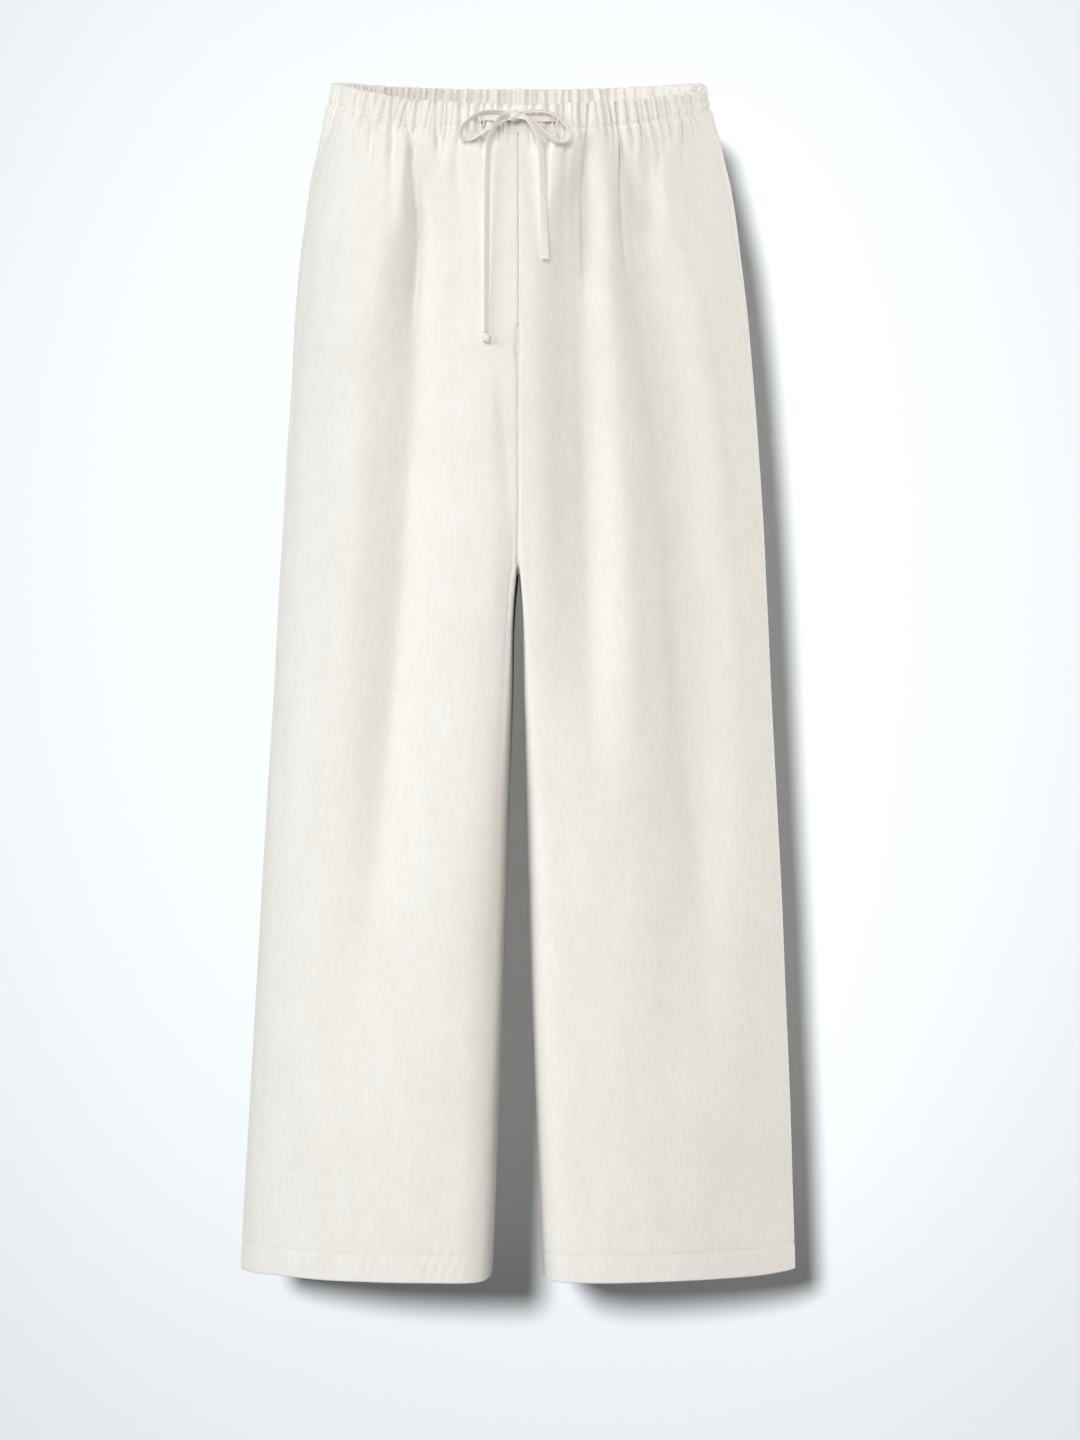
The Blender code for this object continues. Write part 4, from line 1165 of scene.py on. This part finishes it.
def hem_edge(panel, along):
    number = list(PANELS).index(panel)
    return HEM_RISE * soft_noise(along / HEM_RISE_LENGTH, np.zeros(along.shape), 90 + number)


print("hem turned up", HEM_DEPTH, "mm")

# %% [markdown]
# Solidify gives the open grid the thickness of real linen, 0.4 mm, towards the inside. That keeps the
# outer face exactly where the function put it.

# %% Building the panels
CLOTH_THICKNESS = 0.4
UP = np.array([0.0, 0.0, 1.0])
HEM_TURNS = 5
HEM_RISE_FROM = 60.0               # above the hem
TUCK = 2.2                         # how far the top edge lies under the casing
TUCK_FROM = 0.4                    # below the seam
TUCK_HEIGHT = 2.8


def grid_mesh(rows, columns, turned):
    """Quads of a grid of points, facing outward."""
    faces = []
    for row in range(rows - 1):
        for cell in range(columns - 1):
            start = row * columns + cell
            quad = (start, start + columns, start + columns + 1, start + 1)
            faces.append(quad[::-1] if turned else quad)
    return faces


def faces_turned(panel):
    face, side = PANELS[panel]
    return (side if face == "front" else -side) < 0


def with_allowance(points, normal, along, share_step):
    """Adds the folded-back edges: copies of columns near each side, moved inward."""
    last = points.shape[1] - 1
    order = [int(round(share / share_step)) for share, _ in ALLOWANCE]
    inward = [depth for _, depth in ALLOWANCE]
    chosen = order + list(range(last + 1)) + [last - place for place in order][::-1]
    depth = np.array(inward + [0.0] * (last + 1) + inward[::-1])
    moved = points[:, chosen] - normal[:, chosen] * depth[None, :, None]
    flat = along[:, chosen].copy()
    flat[:, :len(order)] *= -1.0
    flat[:, -len(order):] = 2.0 * along[:, -1:] - flat[:, -len(order):]
    return moved, flat


def give_thickness(item):
    thickness = item.modifiers.new("Thickness", "SOLIDIFY")
    thickness.thickness = CLOTH_THICKNESS * MM
    thickness.offset = -1.0


def leg_panel(panel):
    side = PANELS[panel][1]
    below = panel_rows()
    share, drop = panel_places(panel, below)
    points, normal, _, along = cloth(panel, share, drop, np.broadcast_to(below[:, None], drop.shape))
    points = points + normal * hem_relief(panel, along, drop)[..., None]
    near_hem = smooth_step((drop - OUTSEAM + HEM_RISE_FROM) / HEM_RISE_FROM)
    points[..., 2] += hem_edge(panel, along) * near_hem
    tuck = smooth_step((TUCK_FROM - below) / TUCK_HEIGHT) * TUCK
    points = points - normal * tuck[:, None, None]

    rows_points = [points]
    rows_normal = [normal]
    rows_along = [along]
    edge_points, edge_normal = points[-1], normal[-1]
    level_normal = unit(edge_normal * [1.0, 1.0, 0.0])
    for angle in np.linspace(0.0, math.pi, HEM_TURNS + 1)[1:]:
        move = -(level_normal * (1 - math.cos(angle)) + UP * math.sin(angle)) * HEM_RADIUS
        rows_points.append((edge_points + move)[None])
        rows_normal.append(edge_normal[None])
        rows_along.append(along[-1:])
    back_up = [row for row in range(len(below) - 1, 0, -1)
               if OUTSEAM - CASING_MEAN - below[row] <= HEM_DEPTH + 1.0][1::2]
    for row in back_up:
        rows_points.append((points[row] - normal[row] * 2 * HEM_RADIUS)[None])
        rows_normal.append(normal[row][None])
        rows_along.append(along[row][None])
    points = np.vstack(rows_points)
    normal = np.vstack(rows_normal)
    along = np.vstack(rows_along)

    down = length_along(points[:, COLUMNS // 2])
    points, flat = with_allowance(points, normal, along, 1.0 / (COLUMNS - 1))
    rows, columns = points.shape[:2]
    to_side = along[:, -1:] - flat
    uv = np.stack([-side * to_side, np.broadcast_to(-down[:, None], flat.shape)], axis=-1)
    item = new_mesh_object(panel + "_cloth", points.reshape(-1, 3),
                           grid_mesh(rows, columns, faces_turned(panel)), LINEN, uv.reshape(-1, 2))
    give_thickness(item)
    return item


panel_pieces = {panel: leg_panel(panel) for panel in PANELS}
for name, piece in panel_pieces.items():
    print(name, len(piece.data.polygons), "quads")

# %% [markdown]
# Below the crotch the two legs hang against each other for a hand's length. The pressed inseams fill the
# narrow furrow between them. Each side of the garment has one strip for them here, which takes its edges
# from both panels' own surface and is creased down its middle.

# %% Where the legs touch
TOUCHING = {"front": (179.0, 411.0), "back": (179.0, 400.0)}    # from and to, below the casing's seam
TOUCH_ROWS = 90
TOUCH_TIP = 0.35                   # half the strip's width at its top
TOUCH_HALF = 2.3                   # where it shows most
TOUCH_NARROWING = 0.35             # the share that it loses again
TOUCH_WIDENS_IN = 24.0
TOUCH_NARROWS_FROM = 300.0
TOUCH_NARROWS_IN = 60.0
TOUCH_SECTION = (                  # share of the half width, millimetres in
    (-1.0, 0.8),
    (-0.55, 0.7),
    (0.0, 1.7),
    (0.55, 0.7),
    (1.0, 0.8),
)
NO_STEP = 0.01                     # millimetres


def furrow_edge(panel, below, half):
    """The points where a panel lies `half` millimetres from the centre, nearest its side seam."""
    share, drop = panel_places(panel, below)
    points = cloth(panel, share, drop, np.broadcast_to(below[:, None], drop.shape))[0]
    edge = []
    for row, limit in zip(points, half):
        out = np.abs(row[:, 0])
        inner = np.nonzero(out < limit)[0]
        place = min(inner[-1] if len(inner) else int(out.argmin()), len(row) - 2)
        step = max(out[place + 1] - out[place], NO_STEP)
        part = np.clip((limit - out[place]) / step, 0.0, 1.0)
        edge.append(row[place] + (row[place + 1] - row[place]) * part)
    return np.array(edge)


def touching_inseams(face):
    start, end = TOUCHING[face]
    below = np.linspace(start, end, TOUCH_ROWS)
    half = TOUCH_TIP + (TOUCH_HALF - TOUCH_TIP) * smooth_step((below - start) / TOUCH_WIDENS_IN)
    half *= 1.0 - TOUCH_NARROWING * smooth_step((below - TOUCH_NARROWS_FROM) / TOUCH_NARROWS_IN)
    right = furrow_edge(face + "_right", below, half)
    left = furrow_edge(face + "_left", below, half)
    middle, reach = (left + right) / 2, (left - right) / 2
    share, inward = np.array(TOUCH_SECTION).T
    points = middle[:, None] + reach[:, None] * share[:, None]
    points[..., 1] += inward if face == "front" else -inward
    across = half[:, None] * share
    uv = np.stack([across, np.broadcast_to(-below[:, None], across.shape)], axis=-1)
    return new_mesh_object("inseams_touching_" + face, points.reshape(-1, 3),
                           grid_mesh(TOUCH_ROWS, len(TOUCH_SECTION), faces_turned(face + "_left")), LINEN,
                           uv.reshape(-1, 2))


for face in TOUCHING:
    touching = touching_inseams(face)
    ride_in_slot(touching)
    print(touching.name, len(touching.data.polygons), "quads")

# %% [markdown]
# ## The casing
# The waistband is a casing: a strip folded over the elastic. Seen in section it is a flat loop, up the
# outside, over the edge in a small round, and down the inside. The outer layer carries the gathers of
# the panel below it, and the inner layer its own. A row of stitches 9 mm below the edge holds the
# elastic in place and pinches the loop there.

# %% The section of the casing
CASING_RADIUS = 1.5
CASING_BACK = 2 * CASING_RADIUS    # from the outer to the inner layer
TURNED_IN = ((0.9, 2.2), (0.7, 1.1), (0.25, 0.3))      # the lower edge: millimetres down, and inward
OUTER_ROWS = 19
ROUND_ROWS = 8
INNER_ROWS = 12
PINCH_DROP = 9.0
PINCH = 0.55
PINCH_WIDTH = 1.1
CROWDING = 0.9                     # how deep a groove may be before it pushes the inner layer in
EDGE_NOTCH = 2.0                   # how far the edge sinks in a groove
EDGE_NOTCH_HEIGHT = 3.5
INSIDE_CREST = 3.0


def casing_profile():
    """The loop from the bottom of the outside to the bottom of the inside: rows of a share of the
    casing's depth, millimetres added to the drop, millimetres inward, and 0 outside to 1 inside."""
    rows = [(1.0, *step, 0.0) for step in TURNED_IN]
    for share in np.linspace(0.98, 0.0, OUTER_ROWS):
        rows.append((share, CASING_RADIUS * (1 - share), 0.0, 0.0))
    for angle in np.linspace(0.0, math.pi, ROUND_ROWS)[1:-1]:
        inside = (1 - math.cos(angle)) / 2
        rows.append((0.0, CASING_RADIUS * (1 - math.sin(angle)), CASING_BACK * inside, inside))
    for share in np.linspace(0.0, 1.0, INNER_ROWS):
        rows.append((share, CASING_RADIUS, CASING_BACK, 1.0))
    return np.array(rows)


print("rows of the casing:", len(casing_profile()))

# %% [markdown]
# Front and back are one strip each, from side seam to side seam. Both halves of a strip come from the
# panels' own surface, so the casing always sits on the legs.

# %% Building the casing
CASING_COLUMNS = 250
BUTTONHOLE = {"x": 30.6, "drop": 47.5, "half_width": 1.1, "half_height": 5.4}


def casing_half(panel):
    """Points and cloth coordinates of half a casing, from the centre to the side seam."""
    profile = casing_profile()
    share = np.linspace(0.0, 1.0, CASING_COLUMNS)
    depth = casing_depth(panel, share)
    drop = profile[:, :1] * depth + profile[:, 1:2]
    inside = profile[:, 3:4]
    places = np.broadcast_to(share, drop.shape)
    points, normal, groove, along = cloth(panel, places, drop, np.minimum(drop - depth, 0.0))
    smooth = base_surface(panel, places, drop)
    own = groove_depth(INSIDE_GATHERS, panel, smooth, along, drop - depth) * off_side_seam(along)
    pinch = PINCH * np.exp(-((drop - PINCH_DROP) / PINCH_WIDTH) ** 2)
    outer_push = CASING_CREST - CASING_GROOVE * groove
    crowded = np.minimum(outer_push + CROWDING, 0.0)
    inner_push = crowded - INSIDE_CREST * (1 - own) + pinch
    change = inside * (inner_push - outer_push) - (1 - inside) * pinch
    points = points + normal * (change - profile[:, 2:3])[..., None]
    near_edge = np.exp(-(np.clip(drop, 0.0, None) / EDGE_NOTCH_HEIGHT) ** 2)
    points[..., 2] -= EDGE_NOTCH * near_edge * (groove * (1 - inside) + own * inside)
    down = length_along(points[:, CASING_COLUMNS // 2])
    uv = np.stack([PANELS[panel][1] * along, np.broadcast_to(down[:, None], along.shape)], axis=-1)
    return points, uv


def in_buttonhole(points):
    """Whether a point lies in one of the two slots for the tie."""
    over = np.abs(np.abs(points[..., 0]) - BUTTONHOLE["x"]) < BUTTONHOLE["half_width"]
    high = np.abs(-points[..., 2] - BUTTONHOLE["drop"]) < BUTTONHOLE["half_height"]
    return over & high & (points[..., 1] < 0)


def casing(name, right_panel, left_panel):
    right_points, right_uv = casing_half(right_panel)
    left_points, left_uv = casing_half(left_panel)
    right_points[:, 0, 0] = 0.0
    points = np.concatenate([right_points[:, ::-1], left_points[:, 1:]], axis=1)
    uv = np.concatenate([right_uv[:, ::-1], left_uv[:, 1:]], axis=1)
    rows, columns = points.shape[:2]
    centres = (points[:-1, :-1] + points[1:, 1:]) / 2
    open_cells = in_buttonhole(centres)
    open_cells[len(TURNED_IN) + OUTER_ROWS:] = False
    quads = grid_mesh(rows, columns, faces_turned(left_panel))
    kept = [quad for quad, is_open in zip(quads, open_cells.ravel()) if not is_open]
    item = new_mesh_object(name, points.reshape(-1, 3), [q[::-1] for q in kept], CASING_LINEN,
                           uv.reshape(-1, 2))
    give_thickness(item)
    return item


casing_front = casing("casing_front", "front_right", "front_left")
casing_back = casing("casing_back", "back_right", "back_left")
print("casing:", len(casing_front.data.polygons), "and", len(casing_back.data.polygons), "quads")

# %% [markdown]
# ## Sheets
# Every piece of cloth is fixed to the frame in place of its plain solid, and its area is printed. A front
# panel is cut from a rectangle 0.375 m wide and 1.06 m long, seam allowances and turn-up included; the back
# is wider at the seat. The casing is cut at its full, ungathered length.

# %% Fixing the cloth to the frame
def cloth_area(item):
    return sum(polygon.area for polygon in item.data.polygons)


FRONT_CUT = (0.375, 1.06)
BACK_CUT = (0.395, 1.08)
for panel, piece in panel_pieces.items():
    ride_in_slot(piece)
    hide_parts(panel)
    flat = FRONT_CUT if PANELS[panel][0] == "front" else BACK_CUT
    print(panel, "measures", round(cloth_area(piece), 3), "of", round(flat[0] * flat[1], 3), "square metres")
CASING_CUTS = (
    (casing_front, "waistband_front", (0.385, 0.057)),
    (casing_back, "waistband_back", (0.66, 0.057)),
)
for piece, node, flat in CASING_CUTS:
    ride_in_slot(piece)
    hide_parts(node)
    print(node, "measures", round(cloth_area(piece), 4), "square metres")

# %% [markdown]
# ## Stitches
# A machine stitch is a short length of thread that dives into the cloth at both ends. Each one here is a
# small six-sided capsule, bent down at its ends, laid along the seam's own points. Hundreds of them are
# one mesh, made by repeating the same ring of points with numpy.

# %% Laying stitches along a seam
STITCH_PITCH = 3.0
STITCH_LENGTH = 2.3
CASING_STITCH_PITCH = 2.8
CASING_STITCH_LENGTH = 2.1
STITCH_RADIUS = 0.24
STITCH_RINGS = (                   # share of its length, lift and size as shares of the radius
    (-0.5, -0.9, 0.35),
    (-0.36, 0.1, 0.95),
    (0.0, 0.45, 1.0),
    (0.36, 0.1, 0.95),
    (0.5, -0.9, 0.35),
)
STITCH_SIDES = 6


def ring_round(centre, across, out, turn, size):
    """A ring of points round each centre, in the plane of two directions."""
    return (centre[:, None] + across[:, None] * np.cos(turn)[None, :, None] * size
            + out[:, None] * np.sin(turn)[None, :, None] * size)


def stitches(name, line, normal, pitch, length):
    """Stitches along a line of points on the cloth, with the normals there, all in millimetres."""
    along = length_along(line)
    places = np.arange(pitch, along[-1] - pitch / 2, pitch)

    def read(values, at):
        return np.column_stack([np.interp(at, along, values[:, axis]) for axis in range(3)])

    middle = read(line, places)
    tangent = unit(read(line, places + pitch * 0.4) - read(line, places - pitch * 0.4))
    out = read(normal, places)
    up = unit(out - tangent * np.sum(out * tangent, axis=1, keepdims=True))
    across = np.cross(tangent, up)
    rings = []
    for place, lift, size in STITCH_RINGS:
        centre = middle + tangent * place * length + up * lift * STITCH_RADIUS
        rings.append(ring_round(centre, across, up, round_the_circle(STITCH_SIDES), STITCH_RADIUS * size))
    points = np.stack(rings, axis=1)
    one = loft_faces(len(STITCH_RINGS), STITCH_SIDES)
    each = len(STITCH_RINGS) * STITCH_SIDES
    faces = [tuple(each * number + corner for corner in face)
             for number in range(len(places)) for face in one]
    ride_in_slot(new_mesh_object(name, points.reshape(-1, 3), faces, SEWING_THREAD))


print("a stitch has", len(STITCH_RINGS) * STITCH_SIDES, "points")

# %% [markdown]
# The hem's stitches run round each leg on its stitch line. A line is read from the same surface function
# as the cloth, a hair above it, so the thread lies in the groove that it makes.

# %% The hem and casing stitches
LINE_SHARES = np.linspace(0.004, 0.996, 900)[None, :]


def line_on_panel(panel, drop, below, relief):
    """A finely spaced line across a panel and its normals. `relief` is a function of the place along the
    line, and gives how far the stitching moves the cloth there."""
    levels = np.full(LINE_SHARES.shape, drop)
    points, normal, _, along = cloth(panel, LINE_SHARES, levels, np.broadcast_to(below, levels.shape))
    return (points + normal * relief(along, levels)[..., None])[0], normal[0]


def hem_line(panel):
    drop = OUTSEAM - HEM_DEPTH
    return line_on_panel(panel, drop, drop - CASING_MEAN,
                         lambda along, levels: hem_relief(panel, along, levels))


for side in ("right", "left"):
    for face in ("front", "back"):
        line, normal = hem_line(face + "_" + side)
        stitches("hem_stitches_" + face + "_" + side, line, normal,
                 STITCH_PITCH, STITCH_LENGTH)


def pinch_line(panel):
    return line_on_panel(panel, PINCH_DROP, PINCH_DROP - casing_depth(panel, LINE_SHARES),
                         lambda along, levels: np.full(levels.shape, -PINCH))


for panel in PANELS:
    line, normal = pinch_line(panel)
    stitches("casing_stitches_" + panel, line, normal,
             CASING_STITCH_PITCH, CASING_STITCH_LENGTH)
print("stitch rows laid")

# %% [markdown]
# ## Buttonholes
# The tie comes out of two worked buttonholes, upright slots whose edges are covered in satin stitch: a
# raised oval of thread laid side by side. A ring with fine ridges across it shows exactly that.

# %% The buttonholes
SATIN_RADIUS = 0.75
SATIN_FLATNESS = 0.7
SATIN_SIDES = 10
SATIN_STITCHES = 46
SATIN_SEGMENTS = SATIN_STITCHES * 4
SATIN_RIDGE = 0.16
SATIN_BESIDE = 0.35                # the ring's distance from the slot, at its sides
SATIN_ABOVE = 0.5                  # and at its ends
SATIN_ON_CRESTS = 0.4              # share of a crest's height at which it lies
SLOT_SQUARENESS = (0.6, 0.8)
FACING_OUT = np.array([0.0, -1.0, 0.0])


def buttonhole(name, side):
    turn = round_the_circle(SATIN_SEGMENTS)
    half_width = BUTTONHOLE["half_width"] + SATIN_BESIDE
    half_height = BUTTONHOLE["half_height"] + SATIN_ABOVE
    x = side * (BUTTONHOLE["x"] + half_width * signed_power(np.cos(turn), SLOT_SQUARENESS[0]))
    drop = BUTTONHOLE["drop"] + half_height * signed_power(np.sin(turn), SLOT_SQUARENESS[1])
    on_cloth = [front_of_cloth(*place) - CASING_CREST * SATIN_ON_CRESTS for place in zip(x, drop)]
    centre = np.column_stack([x, on_cloth, -drop])
    tangent = unit(np.roll(centre, -1, axis=0) - np.roll(centre, 1, axis=0))
    across = np.cross(tangent, FACING_OUT)
    out = np.broadcast_to(FACING_OUT * SATIN_FLATNESS, centre.shape)
    radius = SATIN_RADIUS * (1.0 + SATIN_RIDGE * np.cos(turn * SATIN_STITCHES))
    points = ring_round(centre, across, out, round_the_circle(SATIN_SIDES), radius[:, None, None])
    faces = loft_faces(SATIN_SEGMENTS, SATIN_SIDES, closed=True)
    ride_in_slot(new_mesh_object(name, points.reshape(-1, 3), faces, SEWING_THREAD))


for side, name in ((-1, "buttonhole_right"), (1, "buttonhole_left")):
    buttonhole(name, side)
print("buttonholes worked at", BUTTONHOLE["x"], "mm each side of the middle")

# %% [markdown]
# ## The stage and the light
# The garment hangs in front of a pale wall, over a pale floor that lies below the picture. Both carry a
# painted pool of light, bright round a centre and dimmer outward. The wall can't be seen from behind, so
# that the garment can be looked at from every side.

# %% Wall and floor
WALL_Y = 0.17
WALL_REACH = 4.0
FLOOR_Z = -1.34
FLOOR_REACH = 6.0
# painted light: wall and floor are coloured bright round a centre and dimmer outward, a painted pool of
# light and its falloff
STAGE_PAINTED_LIGHT = (0.757, 0.784, 0.802)
STAGE_PAINTED_SHADE = (0.552, 0.580, 0.602)
PAINTED_LIGHT_CENTRE = (0.02, 0.0, -0.42)
PAINTED_LIGHT_FALLOFF = (0.30, 1.15)
PAINTED_LIGHT_FLATTENED = (1.1, 0.0, 0.82)  # the bright patch is higher than it is wide


def stage_material(name, see_through_behind):
    material = bpy.data.materials.new(name)
    material.use_nodes = True
    tree = material.node_tree
    shader = tree.nodes["Principled BSDF"]
    shader.inputs["Roughness"].default_value = 1.0
    shader.inputs["Specular IOR Level"].default_value = 0.0
    place = group_node(tree, "ShaderNodeTexCoord")
    distance = group_node(tree, "ShaderNodeVectorMath", operation="DISTANCE")
    flat = group_node(tree, "ShaderNodeVectorMath", operation="MULTIPLY")
    flat.inputs[1].default_value = PAINTED_LIGHT_FLATTENED
    centre = group_node(tree, "ShaderNodeVectorMath", operation="SUBTRACT")
    centre.inputs[1].default_value = PAINTED_LIGHT_CENTRE
    distance.inputs[1].default_value = (0.0, 0.0, 0.0)
    # painted light: the colour goes from bright to dim with the distance from the centre
    fade = group_node(tree, "ShaderNodeMapRange", interpolation_type="SMOOTHSTEP")
    fade.inputs["From Min"].default_value = PAINTED_LIGHT_FALLOFF[0]
    fade.inputs["From Max"].default_value = PAINTED_LIGHT_FALLOFF[1]
    mix = group_node(tree, "ShaderNodeMix", data_type="RGBA")
    mix.inputs["A"].default_value = (*STAGE_PAINTED_LIGHT, 1.0)
    mix.inputs["B"].default_value = (*STAGE_PAINTED_SHADE, 1.0)
    tree.links.new(place.outputs["Object"], centre.inputs[0])
    tree.links.new(centre.outputs["Vector"], flat.inputs[0])
    tree.links.new(flat.outputs["Vector"], distance.inputs[0])
    tree.links.new(distance.outputs["Value"], fade.inputs["Value"])
    tree.links.new(fade.outputs["Result"], mix.inputs["Factor"])
    tree.links.new(mix.outputs["Result"], shader.inputs["Base Color"])
    if see_through_behind:
        clear = group_node(tree, "ShaderNodeBsdfTransparent")
        geometry = group_node(tree, "ShaderNodeNewGeometry")
        choose = group_node(tree, "ShaderNodeMixShader")
        output = tree.nodes["Material Output"]
        tree.links.new(geometry.outputs["Backfacing"], choose.inputs["Fac"])
        tree.links.new(shader.outputs["BSDF"], choose.inputs[1])
        tree.links.new(clear.outputs["BSDF"], choose.inputs[2])
        tree.links.new(choose.outputs["Shader"], output.inputs["Surface"])
    return material


def stage_plane(name, middle, reach_x, reach_up, material):
    """A square of the stage: its middle, and how far its sides lie from there in two directions."""
    corners = [middle + reach_x * a + reach_up * b for a, b in ((-1, -1), (1, -1), (1, 1), (-1, 1))]
    mesh = bpy.data.meshes.new(name)
    mesh.from_pydata(corners, [], [(0, 1, 2, 3)])
    mesh.materials.append(material)
    item = bpy.data.objects.new(name, mesh)
    bpy.context.scene.collection.objects.link(item)
    return item


wall = stage_plane("wall", Vector((0.0, WALL_Y, 0.0)), Vector((WALL_REACH, 0.0, 0.0)),
                   Vector((0.0, 0.0, WALL_REACH)), stage_material("pale_wall_painted_light", True))
wall.visible_shadow = False
wall.visible_diffuse = False
floor = stage_plane("floor", Vector((0.0, 0.0, FLOOR_Z)), Vector((FLOOR_REACH, 0.0, 0.0)),
                    Vector((0.0, FLOOR_REACH, 0.0)), stage_material("pale_floor_painted_light", False))
print("wall at y =", WALL_Y, "and floor at z =", FLOOR_Z)

# %% [markdown]
# Light linking splits the light in three. The key reaches only the wall, where it throws the garment's
# soft shadow. The garment is lit by lights that reach nothing else: a broad window on the left, which
# models the folds, a softer light near the camera, two far round on the right and two behind. The floor
# has one of its own, from above. The suns behind and above stop at what they reach: their light makes no
# bounce, or it would come back from wall and floor and wash out the folds. The world fills in the shadows.
# It is dimmer as a light than it looks behind the garment, which the Light Path node makes possible.

# %% Lights
bpy.context.scene.view_settings.view_transform = "Standard"

garment = bpy.data.collections.new("garment_light")
for item in bpy.context.scene.objects:
    if item.type == "MESH" and item not in (wall, floor) and item.name not in frame["nodes"]:
        garment.objects.link(item)
backdrop = bpy.data.collections.new("backdrop_light")
backdrop.objects.link(wall)
ground = bpy.data.collections.new("floor_light")
ground.objects.link(floor)
ALL_BOUNCES = 1024
SUN_DISTANCE = 3.0                 # only for show: a sun shines the same from anywhere


def sun(name, azimuth, elevation, energy, angle, receivers, colour, bounces=ALL_BOUNCES):
    """A sun from a direction: azimuth 0 in front and negative on the left, elevation above the floor."""
    data = bpy.data.lights.new(name, "SUN")
    data.cycles.max_bounces = bounces
    data.energy = energy
    data.angle = angle
    data.color = colour
    item = bpy.data.objects.new(name, data)
    turn, rise = math.radians(azimuth), math.radians(elevation)
    towards = Vector((math.sin(turn) * math.cos(rise), -math.cos(turn) * math.cos(rise), math.sin(rise)))
    item.location = towards * SUN_DISTANCE
    item.rotation_euler = (-item.location).to_track_quat("-Z", "Y").to_euler()
    bpy.context.scene.collection.objects.link(item)
    item.light_linking.receiver_collection = receivers


sun("key", -11.0, 13.0, 3.50, 0.12, backdrop, (0.972, 0.988, 1.0))
sun("window", -60.0, 10.0, 1.36, 0.6, garment, (0.952, 0.985, 1.0))
sun("front", -10.0, 10.0, 1.68, 0.6, garment, (1.0, 0.988, 0.968))
sun("far_side", 70.0, 10.0, 0.89, 0.6, garment, (1.0, 0.978, 0.935))
sun("rim", 112.0, 10.0, 1.15, 0.6, garment, (1.0, 0.978, 0.935))
sun("behind_right", -162.0, 12.0, 1.1, 0.6, garment, (0.985, 0.993, 1.0), bounces=0)
sun("behind_left", 160.0, 12.0, 1.2, 0.6, garment, (0.985, 0.993, 1.0), bounces=0)
sun("overhead", 0.0, 80.0, 3.2, 0.7, ground, (1.0, 0.985, 0.965), bounces=0)

AMBIENT = 0.24
BEHIND = 0.90
world = bpy.data.worlds.new("studio")
world.use_nodes = True
bpy.context.scene.world = world
background = world.node_tree.nodes["Background"]
background.inputs["Color"].default_value = (1.0, 0.985, 0.96, 1.0)
path = group_node(world.node_tree, "ShaderNodeLightPath")
strength = group_node(world.node_tree, "ShaderNodeMapRange")
strength.inputs["To Min"].default_value = AMBIENT
strength.inputs["To Max"].default_value = BEHIND
world.node_tree.links.new(path.outputs["Is Camera Ray"], strength.inputs["Value"])
world.node_tree.links.new(strength.outputs["Result"], background.inputs["Strength"])
